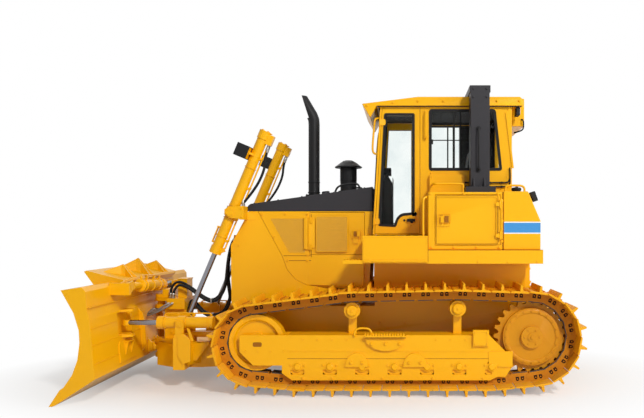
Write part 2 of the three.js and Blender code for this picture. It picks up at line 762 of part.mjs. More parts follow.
// A block behind the cab's leaning front face: from x to a distance behind the face.
function behindFront(x, back, y, [low, high]) {
  return plateXZ([
    [x, low], [cabFrontAt(low) - back, low], [cabFrontAt(high) - back, high], [x, high],
  ], y);
}

function cabShellSolid() {
  const half = cabHalfWidth;
  const outer = behindFront(cabRearX, 0, [-half, half], [cabFloor, cabTop]);
  const inner = behindFront(cabRearX + cabWall, cabWall, [-half + cabWall, half - cabWall],
    [cabFloor + cabWall, cabTop + 10]);
  const tools = [inner];
  for (const { side } of sides) {
    const through = span(side, half - cabWall - 10, half + 10);
    tools.push(behindFront(cabDoorRearX - 4, cabDoorInset - 4, through, [cabDoorZ[0] - 4, cabDoorZ[1] + 4]));
    tools.push(plateXZ(sideWindow, through));
  }
  const openingRear = cabFrontAt(windshield.z[1]) - cabWall - 10;
  tools.push(box([openingRear, cabFrontX + 10], [-windshield.y, windshield.y], windshield.z));
  tools.push(box([cabRearX - 10, cabRearX + cabWall + 10], [-rearWindow.y, rearWindow.y], rearWindow.z));
  const pedestal = box([-1000, 330], [-mainHalfWidth, mainHalfWidth], [rearTop + seatGap, cabFloor + 5]);
  return joined(cut(outer, ...tools), pedestal);
}

function cabDoorSolid(side) {
  const half = cabHalfWidth;
  const plate = behindFront(cabDoorRearX, cabDoorInset, span(side, half - 45, half), cabDoorZ);
  const window = plateXZ(cabDoorWindow, span(side, half - 60, half + 10));
  const { inset: back, y } = cabDoorHinge;
  const pinX = (z) => cabFrontAt(z) - back;
  const barrels = [1900, 3050].map((z) => joined(
    bar([pinX(z - 45), side * y, z - 45], [pinX(z + 45), side * y, z + 45], 11.5, 12),
    box([pinX(z) - 60, pinX(z) - 24], span(side, half - 4, y), [z - 35, z + 35]),
    box([pinX(z) - 30, pinX(z)], span(side, half + 2, y), [z - 35, z + 35]),
  ));
  const handle = box([-120, -60], span(side, half - 4, half + 22), [1905, 1960]);
  return joined(cut(plate, window), ...barrels, handle);
}

function doorGlassSolid(side) {
  const y = span(side, cabHalfWidth - 32, cabHalfWidth - 32 + paneThick);
  return plateXZ(inset(cabDoorWindow, seatGap), y);
}

place('cab_shell', cabShellSolid(), 'yellow');
for (const { side, word } of sides) {
  place(`cab_door_${word}`, cabDoorSolid(side), 'yellow');
  place(`door_glass_${word}`, doorGlassSolid(side), 'glass');
  const y = span(side, cabHalfWidth - paneInset - paneThick, cabHalfWidth - paneInset);
  place(`side_window_${word}`, plateXZ(grown(sideWindow, -seatGap), y), 'glass');
}
function windshieldSolid() {
  const [low, high] = [windshield.z[0] + seatGap, windshield.z[1] - seatGap];
  const rear = paneInset + paneThick;
  return plateXZ([
    [cabFrontAt(low) - rear, low], [cabFrontAt(low) - paneInset, low],
    [cabFrontAt(high) - paneInset, high], [cabFrontAt(high) - rear, high],
  ], [-windshield.y + seatGap, windshield.y - seatGap]);
}

place('windshield', windshieldSolid(), 'glass');
place('rear_window', box([cabRearX + paneInset, cabRearX + paneInset + paneThick],
  [-rearWindow.y + seatGap, rearWindow.y - seatGap],
    rearWindow.z.map((z, i) => z + (i ? -seatGap : seatGap))), 'glass');

function cabRoofSolid() {
  const slab = plateXZ([
    [-1360, cabTop + seatGap], [330, cabTop + seatGap], [398, 3112], [412, 3112], [499, cabTop + 25],
    [174, 3300], [-145, roofTop], [-1330, roofTop], [-1360, roofTop - 30],
  ], [-cabHalfWidth - 40, cabHalfWidth + 40]);
  const cooler = box([-1415, cabRearX - 30], [-430, 430], [3030, roofTop + 20]);
  return joined(slab, cooler);
}

place('cab_roof', cabRoofSolid(), 'yellow');

function seatSolid() {
  return joined(
    box([seatX - 520, seatX - 120], [-190, 190], [cabFloor + cabWall + seatGap, 2060]),
    box([seatX - 590, seatX - 50], [-260, 260], [2050, 2200]),
    plateXZ([[seatX - 570, 2150], [seatX - 430, 2150], [seatX - 530, 2820], [seatX - 640, 2820]],
      [-240, 240]),
    box([seatX - 570, seatX - 170], [-360, -290], [2300, 2370]),
    box([seatX - 570, seatX - 170], [290, 360], [2300, 2370]),
    box([seatX - 560, seatX - 490], [-360, 360], [2240, 2370]),
  );
}

place('operator_seat', seatSolid(), 'fabric');
place('control_console', joined(
  plateXZ([[150, cabFloor + cabWall + seatGap], [290, cabFloor + cabWall + seatGap], [262, 2420],
    [220, 2480],
    [150, 2360]], [-330, 330]),
), 'charcoal');

function ropsSolid() {
  const postX = [-953, -738];
  const inner = cabHalfWidth + 52;
  const posts = sides.map(({ side }) => joined(
    box(postX, span(side, inner, ropsOuter - 35), [boxTop + seatGap, ropsTop]),
    box([postX[0] - 60, postX[1] + 60], span(side, inner - 20, ropsOuter + 40), [boxTop + seatGap, 2285]),
  ));
  const beam = box([postX[0] - 10, postX[1] + 10], [-ropsOuter + 35, ropsOuter - 35],
    [roofTop + 12, ropsTop]);
  return joined(...posts, beam);
}

place('rops_frame', ropsSolid(), 'charcoal');

// --------------------------------------------------------------------- C-frame
const towerX = [2688, 2950];
const forkLips = [[ballZ - 115, ballZ - 60], [ballZ + 60, ballZ + 115]];
const towerPlates = [[835, 875], [925, towerTop]];
const outrigger = { x: [2470, 2600], outer: 905 };

// A round hole for a pin or a rod, cut by an upright cylinder.
function uprightHole(x, y, z, radius) {
  return bar([x, y, z[0] - 5], [x, y, z[1] + 5], radius, 18);
}

function cFrameSolid() {
  const arms = [];
  for (const { side } of sides) {
    const armOutline = [
      [pivotX - 110, pivotZ - 70], [pivotX - 70, pivotZ - 110], [1250, 300], [1900, noseBottom + 20],
      [crossRearX + 40, noseBottom], [crossRearX + 200, noseBottom], [crossRearX + 200, 602], [2000, 602],
        [1350, 560],
      [pivotX - 70, pivotZ + 110], [pivotX - 110, pivotZ + 70],
    ];
    const arm = plateXZ(armOutline, span(side, armInner, armOuter));
    const through = span(side, armInner - 5, armOuter + 5);
    arms.push(cut(arm, bar([pivotX, through[0], pivotZ], [pivotX, through[1], pivotZ], pivotPin + pinGap,
      18),
      box([2262, 2448], through, [486, 556])));
  }
  const nose = plateXY([
    [crossRearX, -armOuter], [2700, -armOuter], [noseFrontX, -noseHalfWidth], [noseFrontX, noseHalfWidth],
    [2700, armOuter], [crossRearX, armOuter],
  ], [noseBottom, noseTop]);
  const lips = forkLips.map((z) => plateXY([
    [noseFrontX - 20, -190], [ballX + 20, -90], [ballX + 60, -50], [ballX + 60, 50], [ballX + 20, 90],
    [noseFrontX - 20, 190],
  ], z));
  const socket = ball([ballX, 0, ballZ], ballRadius + 0.9, 32);
  const tower = joined(
    box(towerX, [-towerHalfWidth, towerHalfWidth], [noseTop - 10, towerPlates[0][0] + 10]),
    box([towerX[0], 2900], [-towerHalfWidth - 60, towerHalfWidth + 60], [towerPlates[0][0], towerTop]),
    box([towerX[0], 2800], [-110, 110], [towerTop - 10, 1199]),
    ...towerPlates.map((z) => cut(plateXY([
      [2880, -140], [ballX + 30, -80], [ballX + 70, -30], [ballX + 70, 30], [ballX + 30, 80], [2880, 140],
    ], z), uprightHole(ballX, 0, z, swivelPin + pinGap))),
  );
  const outriggers = [];
  for (const { side } of sides) {
    const { x, y, z } = angle.trunnion;
    const arm = box(outrigger.x, span(side, armOuter - 60, outrigger.outer), [230, yokeSeat]);
    const web = plateXY([[crossRearX + 20, armOuter - 20], [outrigger.x[0] + 10, armOuter - 20],
      [outrigger.x[0] + 10, outrigger.outer - 120]].map(([px, py]) => [px, side * py]), [260, 470]);
    outriggers.push(cut(arm, bar([x, side * y, yokeSeat - 120], [x, side * y, yokeSeat + 5],
      kingPin + pinGap, 18)), web);
    // ears for the lift cylinder's rod eye
    const { eye, eyeRadius, eyeWidth } = lift;
    for (const edge of [-1, 1]) {
      const near = lift.y + edge * (eyeWidth / 2 + runGap);
      const far = near + edge * 22;
      const range = span(side, Math.min(near, far), Math.max(near, far));
      outriggers.push(plateXZ([
        [eye.x - 90, noseTop - 40], [eye.x + 110, noseTop - 40], [eye.x + 62, eye.z + 20],
          [eye.x + 30, eye.z + 62],
        [eye.x - 30, eye.z + 62], [eye.x - 62, eye.z + 20],
      ], range));
    }
    outriggers.push(box([2455, 2640], span(side, lift.y - 64, lift.y + 64), [noseTop - 20, 560]));
  }
  const hoseBlock = box([towerX[0] - 48, towerX[0] + 2], [50, 150], [630, hoseBlockTop]);
  const whole = joined(nose, ...arms, ...lips, tower, hoseBlock, ...outriggers);
  return cut(whole, socket);
}

place('c_frame', cFrameSolid(), 'yellow');

// --------------------------------------------------------------------- blade
function bladeCarrierSolid() {
  const bottom = towerPlates[0][0];
  const plateTop = towerTop + 38;
  const { x, y, z } = tiltYoke;
  const armX = [2925, x - tilt.outer - 15];
  const pin = bar([ballX, 0, bottom - 20], [ballX, 0, plateTop], swivelPin, 18);
  const keeper = bar([ballX, 0, bottom - 34], [ballX, 0, bottom - seatGap], 62, 18);
  const collar = bar([ballX, 0, towerTop + seatGap], [ballX, 0, plateTop], 75, 18);
  const crown = box([armX[0], ballX + 20], [-75, 75], [towerTop + seatGap, plateTop]);
  const arm = box(armX, [y - 130, 75], [towerTop + runGap, z - 30]);
  const reach = tilt.eyeWidth / 2 + runGap;
  const stem = box([armX[0], x + reach + 22], [y - 130, y - 57], [towerTop + runGap, z + 50]);
  const ears = [-1, 1].map((edge) => {
    const near = x + edge * reach;
    const far = x + edge * (reach + 22);
    return plateYZ([[y + 50, z - 45], [y + 50, z + 45], [y - 130, z + 50], [y - 130, z - 75]],
      [Math.min(near, far), Math.max(near, far)]);
  });
  return joined(pin, collar, crown, arm, keeper, stem, ...ears);
}

place('blade_carrier', bladeCarrierSolid(), 'yellow');

const bladeFront = [
  [3505, 174], [3467, 199], [3379, 327], [3325, 477], [3304, 653], [3311, 779], [3365, 956], [3495, 1187],
];

function bladeSolid() {
  const section = [
    [3563, 11], [bladeTipX, bladeTipZ], ...bladeFront, [3281, 1217], [3243, 1173], [3230, 976], [3203, 884],
    [bladeRearX, 280],
  ];
  const board = plateXZ(section, [-bladeHalfWidth, bladeHalfWidth]);
  const roof = plateXZ([
    [3225, 1150], [3490, 1150], [3495, 1187], [3600, 1332], [3575, 1345], [3160, 1240], [3150, 1215],
  ], [-900, 900]);
  const fins = [
    { y: 0, points: [[3570, 1310], [3333, 1452], [3165, 1220]] },
    ...sides.map(({ side }) => ({ y: side * finY, points: [[3490, 1290], [3303, 1400], [3175, 1220]] })),
  ].map(({ y, points }) => plateXZ([...points, [3300, 1200]], [y - 16, y + 16]));
  const brackets = [];
  const pockets = [];
  for (const { side } of sides) {
    const { x, y, z } = angleEye;
    for (const edge of [-1, 1]) {
      const near = z + edge * anglePocket.reach;
      const far = near + edge * 26;
      brackets.push(plateXY([[x + 60, y - 110], [x + 60, y + 110], [x - 30, y + 90], [x - 85, y + 35],
        [x - 85, y - 35], [x - 30, y - 90]].map(([px, py]) => [px, side * py]),
      [Math.min(near, far), Math.max(near, far)]));
    }
    pockets.push(box([x - 200, anglePocket.depth], span(side, y - anglePocket.half, y + anglePocket.half),
      [z - anglePocket.reach, z + anglePocket.reach]));
  }
  // bracket of the tilt cylinder's barrel and the ball that the C-frame holds
  const { x, y, z } = tiltEye;
  const reach = tilt.eyeWidth / 2 + 1;
  for (const edge of [-1, 1]) {
    const near = x + edge * reach;
    const far = x + edge * (reach + 22);
    const ear = plateYZ([[y - 55, z - 20], [y + 130, z - 90], [y + 130, z + 40], [y + 20, z + 58],
      [y - 40, z + 40]],
      [Math.min(near, far), Math.max(near, far)]);
    brackets.push(cut(ear, bar([Math.min(near, far) - 5, y, z], [Math.max(near, far) + 5, y, z],
      tilt.pin + pinGap, 18)));
  }
  brackets.push(box([x - reach - 22, 3250], [y + 70, y + 130], [z - 90, z + 40]));
  const neck = bar([ballX + 30, 0, ballZ], [3250, 0, ballZ], 42, 24, 90);
  return joined(cut(board, ...pockets), roof, ...fins, ...brackets, neck,
    ball([ballX, 0, ballZ], ballRadius, 32));
}

place('blade', bladeSolid(), 'yellow');

// --------------------------------------------------------------------- cylinders
// A cylinder lies along its own X axis, from its pivot at the origin to its rod's eye,
// and its hinge pins lie along its own Z axis.
function cylinderGroup(from, to, hinge) {
  const start = new THREE.Vector3(...from);
  const along = new THREE.Vector3(...to).sub(start).normalize();
  const across = new THREE.Vector3().crossVectors(hinge, along).normalize();
  const group = new THREE.Group();
  group.matrix.makeBasis(along, across, new THREE.Vector3().crossVectors(along, across)).setPosition(start);
  group.matrix.decompose(group.position, group.quaternion, group.scale);
  machine.add(group);
  return group;
}

function barrelTube({ above, below, outer, rod, inside, stroke }) {
  const bore = rod + pinGap;
  const deep = below - inside - stroke - 5;
  const tube = bar([-above, 0, 0], [below - 60, 0, 0], outer, 20);
  const gland = bar([below - 75, 0, 0], [below, 0, 0], outer + 9, 20);
  return cut(joined(tube, gland), bar([deep, 0, 0], [below + 5, 0, 0], bore, 18));
}

function rodSolid({ rod, inside, eyeRadius, eyeWidth, below }, length) {
  const shaft = bar([below - inside, 0, 0], [length, 0, 0], rod, 20);
  const eye = bar([length, 0, -eyeWidth / 2], [length, 0, eyeWidth / 2], eyeRadius, 20);
  return joined(shaft, eye);
}

function distance(a, b) {
  return Math.hypot(...a.map((value, i) => value - b[i]));
}

for (const { side, word } of sides) {
  const from = [lift.trunnion.x, side * lift.y, lift.trunnion.z];
  const to = [lift.eye.x, side * lift.y, lift.eye.z];
  const group = cylinderGroup(from, to, axisY);
  const half = lift.outer + 42;
  const trunnion = joined(
    bar([-55, 0, 0], [55, 0, 0], lift.outer + 14, 20),
    bar([0, 0, -half], [0, 0, half], lift.pin, 18),
  );
  const band = cut(trunnion, bar([-60, 0, 0], [60, 0, 0], lift.outer - 5, 20));
  const cap = joined(
    bar([-lift.above - 25, 0, 0], [-lift.above + 60, 0, 0], lift.outer + 8, 20),
    box([-lift.above - 10, -lift.above + 110], [20, lift.outer + 62], [-40, 40]),
  );
  const lampZ = side * 97;
  const lamp = joined(
    box([-lift.above + 265, -lift.above + 290], [-lift.outer - 110, 0],
      span(side, lift.outer - 20, lift.outer + 14)),
    box([-lift.above + 210, -lift.above + 360], [-lift.outer - 122, -lift.outer - 2],
      [lampZ - 75, lampZ + 75]),
  );
  place(`lift_cylinder_barrel_${word}`, joined(barrelTube(lift), band, cap, lamp), 'yellow', group);
  place(`lift_cylinder_rod_${word}`, rodSolid(lift, distance(from, to)), 'chrome', group);
}

for (const { side, word } of sides) {
  const { x, y, z } = angle.trunnion;
  const from = [x, side * y, z];
  const to = [angleEye.x, side * angleEye.y, angleEye.z];
  const group = cylinderGroup(from, to, axisZ);
  // the yoke turns on an upright pin, and the barrel rocks in it on two level pins
  const half = angle.outer + 20;
  const cheeks = [-1, 1].map((edge) => {
    const range = [edge * half, edge * (half + 24)].sort((a, b) => a - b);
    const cheek = box([-48, 48], range, [yokeSeat + 15 - z, 45]);
    return cut(cheek, bar([0, range[0] - 5, 0], [0, range[1] + 5, 0], angle.pin + pinGap, 18));
  });
  const floor = box([-60, 60], [-half - 24, half + 24], [yokeSeat + seatGap - z, yokeSeat + 32 - z]);
  const post = bar([0, 0, yokeSeat - 100 - z], [0, 0, yokeSeat + 20 - z], kingPin, 18);
  place(`angle_yoke_${word}`, joined(...cheeks, floor, post), 'yellow', group);
  const trunnion = cut(joined(
    bar([-46, 0, 0], [46, 0, 0], angle.outer + 12, 20),
    bar([0, -half - 24, 0], [0, half + 24, 0], angle.pin, 18),
  ), bar([-60, 0, 0], [60, 0, 0], angle.outer - 5, 20));
  place(`angle_cylinder_barrel_${word}`, joined(barrelTube(angle), trunnion), 'yellow', group);
  place(`angle_cylinder_rod_${word}`, rodSolid(angle, distance(from, to)), 'chrome', group);
}

const tiltFrom = [tiltEye.x, tiltEye.y, tiltEye.z];
const tiltTo = [tiltYoke.x, tiltYoke.y, tiltYoke.z];
const tiltGroup = cylinderGroup(tiltFrom, tiltTo, axisX);
const tiltBarrel = joined(
  bar([0, 0, -tilt.eyeWidth / 2], [0, 0, tilt.eyeWidth / 2], tilt.eyeRadius, 18),
  bar([0, 0, -tilt.eyeWidth / 2 - 22], [0, 0, tilt.eyeWidth / 2 + 22], tilt.pin, 18),
  bar([0, 0, 0], [90, 0, 0], tilt.eyeWidth / 2 - 2, 16),
  bar([75, 0, 0], [330, 0, 0], 40, 16),
);
const tiltTube = barrelTube({ ...tilt, above: -310 });
place('tilt_cylinder_barrel', joined(tiltBarrel, tiltTube), 'yellow', tiltGroup);
place('tilt_cylinder_rod', rodSolid(tilt, distance(tiltFrom, tiltTo)), 'chrome', tiltGroup);

// --------------------------------------------------------------------- hoses
// Each hose is a round rod on one smooth curve through points chosen by hand. Its first
// and last stretches stand square on the faces that it screws into.
function hoseSolid(points, radius, steps) {
  const curve = new THREE.CatmullRomCurve3(points.map((p) => new THREE.Vector3(...p)), false,
    'centripetal');
  const ring = new THREE.Shape().absarc(0, 0, radius, 0, 2 * Math.PI);
  return solidOf(new THREE.ExtrudeGeometry(ring, { steps, curveSegments: 4, extrudePath: curve }));
}

const railFace = hoseRail.x[1] + seatGap;
const upperHoses = [
  [[2875, 150, towerTop + seatGap], [2875, 150, 1020], [2864, 150, 1090], [2822, 150, 1148],
    [2756, 152, 1162],
    [2659, 155, 1118], [2550, 158, 1043], [2452, 160, 976], [2364, 160, 947], [2288, 160, 989],
      [2228, 160, 1075],
    [2199, 160, 1185], [2184, 160, 1327], [2168, 160, 1458], [2142, 160, 1580], [2112, 160, 1662],
      [2080, 160, 1690],
    [railFace, 160, 1690]],
  [[2828, 195, towerTop + seatGap], [2828, 195, 1010], [2812, 195, 1072], [2768, 195, 1122],
    [2715, 196, 1122],
    [2640, 198, 1088], [2545, 200, 1022], [2450, 202, 958], [2362, 202, 929], [2280, 202, 962],
      [2212, 202, 1060],
    [2180, 202, 1185], [2166, 202, 1327], [2152, 202, 1458], [2130, 202, 1575], [2105, 202, 1650],
      [2078, 202, 1676],
    [railFace, 202, 1676]],
];
const lowerHoses = [
  [[2664, 80, hoseBlockTop + seatGap], [2664, 80, 760], [2668, 80, 850], [2650, 80, 916], [2606, 80, 926],
    [2558, 80, 872], [2478, 80, 792], [2377, 80, 757], [2268, 80, 784], [2206, 80, 869], [2172, 80, 968],
    [2184, 80, 1079], [2203, 80, 1203], [2199, 80, 1364], [2176, 80, 1500], [2140, 80, 1618],
      [2105, 80, 1676],
    [2078, 80, 1690], [railFace, 80, 1690]],
  [[2664, 120, hoseBlockTop + seatGap], [2664, 120, 750], [2664, 120, 826], [2642, 120, 888],
    [2598, 120, 892],
    [2548, 120, 842], [2470, 120, 768], [2374, 120, 735], [2258, 120, 762], [2186, 120, 850],
      [2150, 120, 968],
    [2158, 120, 1079], [2172, 120, 1203], [2172, 120, 1364], [2156, 120, 1500], [2128, 120, 1610],
      [2100, 120, 1662],
    [2076, 120, 1676], [railFace, 120, 1676]],
];
const pilotHoses = [
  [[2880, 210 + seatGap, 905], [2880, 236, 905], [2920, 262, 882], [2985, 270, 838], [3060, 262, 802],
    [3108, 225, 786], [3128, 170, 790], [3118, 122, 806], [3092, 90, 818], [3072, 55.4, 818]],
  [[2835, 210 + seatGap, 905], [2835, 240, 905], [2880, 285, 872], [2960, 300, 826], [3050, 292, 786],
    [3115, 250, 764], [3150, 180, 764], [3156, 110, 788], [3140, 36.4, 818], [3099.5, 21.7, 818]],
];

function hosePair(routes, radius, steps, clamp) {
  return joined(...routes.map((points) => hoseSolid(points, radius, steps)), box(...clamp));
}

place('blade_hoses_upper', hosePair(upperHoses, hoseRadius, 34, [[2352, 2374], [138, 224], [908, 968]]),
  'rubber');
place('blade_hoses_lower', hosePair(lowerHoses, hoseRadius, 34, [[2364, 2386], [58, 142], [714, 778]]),
  'rubber');
place('pilot_hoses', hosePair(pilotHoses, pilotRadius, 24, [[2818, 2897], [216, 230], [890, 920]]), 'grey');

for (const { side, word } of sides) {
  const route = [[1584, 2776], [1602, 2733], [1622, 2640], [1634, 2540], [1664, 2440], [1718, 2330],
    [1790, 2225],
    [1850, 2150], [1880, 2110], [1880, 2075 + seatGap]];
  const points = route.map(([x, z]) => [x, side * lift.y, z]);
  place(`lift_hose_${word}`, hoseSolid(points, hoseRadius, 24), 'rubber');
}

machine.position.x = -(bladeTipX + sprocketX - sprocketRail - chainDepth - grouserHeight) / 2;
export default machine;
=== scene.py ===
"""Looks of a crawler bulldozer, made around its fixed frame."""

import json
import math

import bmesh
import bpy
from mathutils import Matrix, Vector
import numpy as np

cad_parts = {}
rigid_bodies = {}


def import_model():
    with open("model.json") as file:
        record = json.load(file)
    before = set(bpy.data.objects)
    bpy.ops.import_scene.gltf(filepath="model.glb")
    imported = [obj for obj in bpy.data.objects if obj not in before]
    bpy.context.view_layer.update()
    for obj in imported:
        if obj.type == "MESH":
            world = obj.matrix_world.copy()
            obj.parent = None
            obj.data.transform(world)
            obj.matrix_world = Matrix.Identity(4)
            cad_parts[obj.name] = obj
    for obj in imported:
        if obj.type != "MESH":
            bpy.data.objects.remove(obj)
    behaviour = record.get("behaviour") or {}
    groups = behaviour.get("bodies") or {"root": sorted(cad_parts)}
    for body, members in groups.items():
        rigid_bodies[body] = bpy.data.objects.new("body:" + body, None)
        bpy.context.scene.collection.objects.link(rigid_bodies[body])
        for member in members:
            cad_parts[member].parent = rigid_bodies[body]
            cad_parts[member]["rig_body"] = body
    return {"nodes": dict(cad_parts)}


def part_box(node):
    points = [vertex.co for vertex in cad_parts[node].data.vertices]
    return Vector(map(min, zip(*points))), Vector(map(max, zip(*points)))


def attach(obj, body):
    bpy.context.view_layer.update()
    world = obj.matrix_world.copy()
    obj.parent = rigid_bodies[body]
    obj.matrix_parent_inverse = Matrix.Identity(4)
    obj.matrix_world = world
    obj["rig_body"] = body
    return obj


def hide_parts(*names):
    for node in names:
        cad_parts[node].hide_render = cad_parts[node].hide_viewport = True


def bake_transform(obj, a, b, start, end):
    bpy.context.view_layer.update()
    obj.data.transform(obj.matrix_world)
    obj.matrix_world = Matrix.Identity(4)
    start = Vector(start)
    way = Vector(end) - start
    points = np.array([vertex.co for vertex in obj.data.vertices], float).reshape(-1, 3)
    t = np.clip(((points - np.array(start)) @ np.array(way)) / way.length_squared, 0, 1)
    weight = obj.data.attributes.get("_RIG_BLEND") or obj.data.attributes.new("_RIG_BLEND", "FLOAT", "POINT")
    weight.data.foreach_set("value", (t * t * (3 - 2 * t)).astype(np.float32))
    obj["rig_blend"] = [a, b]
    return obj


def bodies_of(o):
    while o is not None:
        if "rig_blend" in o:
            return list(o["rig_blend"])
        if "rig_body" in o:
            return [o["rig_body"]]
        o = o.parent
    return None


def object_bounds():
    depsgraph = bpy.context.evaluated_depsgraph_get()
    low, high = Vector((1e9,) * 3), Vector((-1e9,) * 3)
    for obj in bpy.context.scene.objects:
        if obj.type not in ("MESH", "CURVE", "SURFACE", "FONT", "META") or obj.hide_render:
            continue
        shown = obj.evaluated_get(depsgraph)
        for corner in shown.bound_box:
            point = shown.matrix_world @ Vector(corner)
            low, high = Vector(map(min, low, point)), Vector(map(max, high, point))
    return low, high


bl_info = {
    "name": "Bulldozer Looks",
    "version": (1, 0, 0),
    "blender": (4, 5, 0),
    "location": "3D View > Sidebar > Bulldozer",
    "description": "Finishes a crawler bulldozer: tracks, blade, linkage, body, cab and stage",
    "category": "Object",
}

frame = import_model()
CAD_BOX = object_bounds()

# ------------------------------------------------------------------ shared sizes
MM = 0.001
BLADE_TIP = 3618          # mm from the machine's datum to the foremost point of the blade
DATUM_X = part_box("blade")[1][0] - BLADE_TIP * MM
SIDES = (("left", 1), ("right", -1))
TRACK_Y = 940             # mm, middle of a track

# ends of the cylinders, in mm: the lift cylinder's as (x, z) beside its y
LIFT_TOP, LIFT_EYE, LIFT_Y = (2014, 2006), (2528, 778), 600
ANGLE_TOP, ANGLE_EYE = (2532, 785, 748), (3170, 780, 748)
TILT_EYE, TILT_YOKE = (3080, 935, 1175), (3080, -434, 1095)
LAMP_REACH = 66           # mm forward of the lift cylinder's axis, where its work lamp begins


def at(x, y, z):
    """A point given in mm from the machine's datum, as metres in the frame."""
    return Vector((x * MM + DATUM_X, y * MM, z * MM))


# ------------------------------------------------------------------ mesh helpers
def moved(bm, made, matrix):
    """Turn and move the vertices that an operator made."""
    bmesh.ops.transform(bm, matrix=matrix, verts=made["verts"])
    return made["verts"]


def add_box(bm, x, y, z):
    """A box between pairs of mm values."""
    low = at(min(x), min(y), min(z))
    high = at(max(x), max(y), max(z))
    matrix = Matrix.Translation((low + high) / 2) @ Matrix.Diagonal((*(high - low), 1))
    return moved(bm, bmesh.ops.create_cube(bm, size=1), matrix)


def turned_box(bm, centre, size, turn=(0, 0, 0)):
    """A box of a size in mm, turned by degrees about X, Y and Z, round a centre in mm."""
    matrix = Matrix.Translation(at(*centre))
    for angle, axis in zip(turn, "XYZ"):
        matrix = matrix @ Matrix.Rotation(math.radians(angle), 4, axis)
    matrix = matrix @ Matrix.Diagonal((*(s * MM for s in size), 1))
    return moved(bm, bmesh.ops.create_cube(bm, size=1), matrix)


def add_rod(bm, start, end, radius, segments=20, end_radius=None):
    """A round bar between two points in mm."""
    a, b = at(*start), at(*end)
    line = b - a
    matrix = Matrix.Translation((a + b) / 2) @ line.to_track_quat("Z", "Y").to_matrix().to_4x4()
    tip = radius if end_radius is None else end_radius
    made = bmesh.ops.create_cone(bm, cap_ends=True, segments=segments, radius1=radius * MM,
                                 radius2=tip * MM, depth=line.length)
    return moved(bm, made, matrix)


def add_turned(bm, profile, start, end, segments=32, closed=False):
    """A turned shape: (radius, distance along the axis) pairs in mm, spun round start to end."""
    a, b = at(*start), at(*end)
    axis = (b - a).normalized()
    basis = axis.to_track_quat("Z", "Y").to_matrix().to_4x4()
    basis.translation = a
    verts = [bm.verts.new(basis @ Vector((r * MM, 0, s * MM))) for r, s in profile]
    pairs = list(zip(verts, verts[1:]))
    if closed:
        pairs.append((verts[-1], verts[0]))
    edges = [bm.edges.new(pair) for pair in pairs]
    bmesh.ops.spin(bm, geom=verts + edges, cent=a, axis=axis, angle=2 * math.pi,
                   steps=segments, use_merge=True, use_duplicate=False)
    bmesh.ops.remove_doubles(bm, verts=bm.verts, dist=2e-6)


def add_plate(bm, corners, push):
    """A flat outline in mm, pushed through by a vector in mm."""
    verts = [bm.verts.new(at(*corner)) for corner in corners]
    made = bmesh.ops.extrude_face_region(bm, geom=[bm.faces.new(verts)], use_keep_orig=True)
    pushed = [item for item in made["geom"] if isinstance(item, bmesh.types.BMVert)]
    bmesh.ops.translate(bm, vec=Vector(push) * MM, verts=pushed)
    return verts + pushed


def side_plate(bm, outline, y, side=1):
    """A plate whose outline is (x, z) pairs, between two y values on one side."""
    low, high = sorted((side * y[0], side * y[1]))
    return add_plate(bm, [(x, low, z) for x, z in outline], (0, high - low, 0))


def cross_plate(bm, outline, x):
    """A plate whose outline is (y, z) pairs, between two x values."""
    return add_plate(bm, [(x[0], y, z) for y, z in outline], (x[1] - x[0], 0, 0))


def level_plate(bm, outline, z):
    """A plate whose outline is (x, y) pairs, between two z values."""
    return add_plate(bm, [(x, y, z[0]) for x, y in outline], (0, 0, z[1] - z[0]))


def add_bolt(bm, centre, outward, size=11, height=9, washer=True):
    """A six-sided bolt head on a washer, standing outward from a point on a face in mm."""
    c = Vector(centre)
    d = Vector(outward).normalized()
    base = 0
    if washer:
        add_rod(bm, c - d, c + d * 2.5, size * 1.55, 14)
        base = 2.5
    add_rod(bm, c + d * base, c + d * (base + height * 0.7), size, 6)
    add_rod(bm, c + d * (base + height * 0.7), c + d * (base + height), size, 6, size * 0.82)


def smooth_route(points, steps=8):
    """Points of one smooth curve through the given points."""
    p = [Vector(q) for q in points]
    p = [p[0] * 2 - p[1], *p, p[-1] * 2 - p[-2]]
    route = []
    for i in range(1, len(p) - 2):
        for k in range(steps):
            t = k / steps
            route.append(0.5 * (2 * p[i] + (p[i + 1] - p[i - 1]) * t
                                + (2 * p[i - 1] - 5 * p[i] + 4 * p[i + 1] - p[i + 2]) * t ** 2
                                + (3 * p[i] - p[i - 1] - 3 * p[i + 1] + p[i + 2]) * t ** 3))
    route.append(p[-2])
    return route


def add_tube(bm, points, radius, segments=12):
    """A round tube along points in mm: one ring of vertices bridged to the next."""
    path = [at(*p) for p in points]
    last = len(path) - 1
    tangents = [(path[min(i + 1, last)] - path[max(i - 1, 0)]).normalized() for i in range(last + 1)]
    across = tangents[0].orthogonal().normalized()
    loops = []
    for i, (point, tangent) in enumerate(zip(path, tangents)):
        across = (across - tangent * across.dot(tangent)).normalized()
        basis = Matrix((across, tangent.cross(across), tangent)).transposed().to_4x4()
        basis.translation = point
        made = bmesh.ops.create_circle(bm, cap_ends=i in (0, last), segments=segments,
                                       radius=radius * MM)
        verts = moved(bm, made, basis)
        loops.append(ring_edges(verts))
    for first, second in zip(loops, loops[1:]):
        bmesh.ops.bridge_loops(bm, edges=first + second)


def bent_rod(bm, route, radius, segments=12, side=1, steps=5):
    """A round rod through points in mm, mirrored to the right with side -1."""
    add_tube(bm, smooth_route([(x, side * y, z) for x, y, z in route], steps), radius, segments)


def ring_spots(centre, radius, count, first=0.0):
    """Points of a ring as pairs of offsets and its angles, added to a (u, v) centre."""
    for i in range(count):
        angle = first + 2 * math.pi * i / count
        yield centre[0] + radius * math.cos(angle), centre[1] + radius * math.sin(angle)


def face_bolts(bm, side, face, spots, size, height):
    """Bolts at (x, z) spots of a side face that stands at y = face on the left side."""
    for x, z in spots:
        add_bolt(bm, (x, side * face, z), (0, side, 0), size, height)


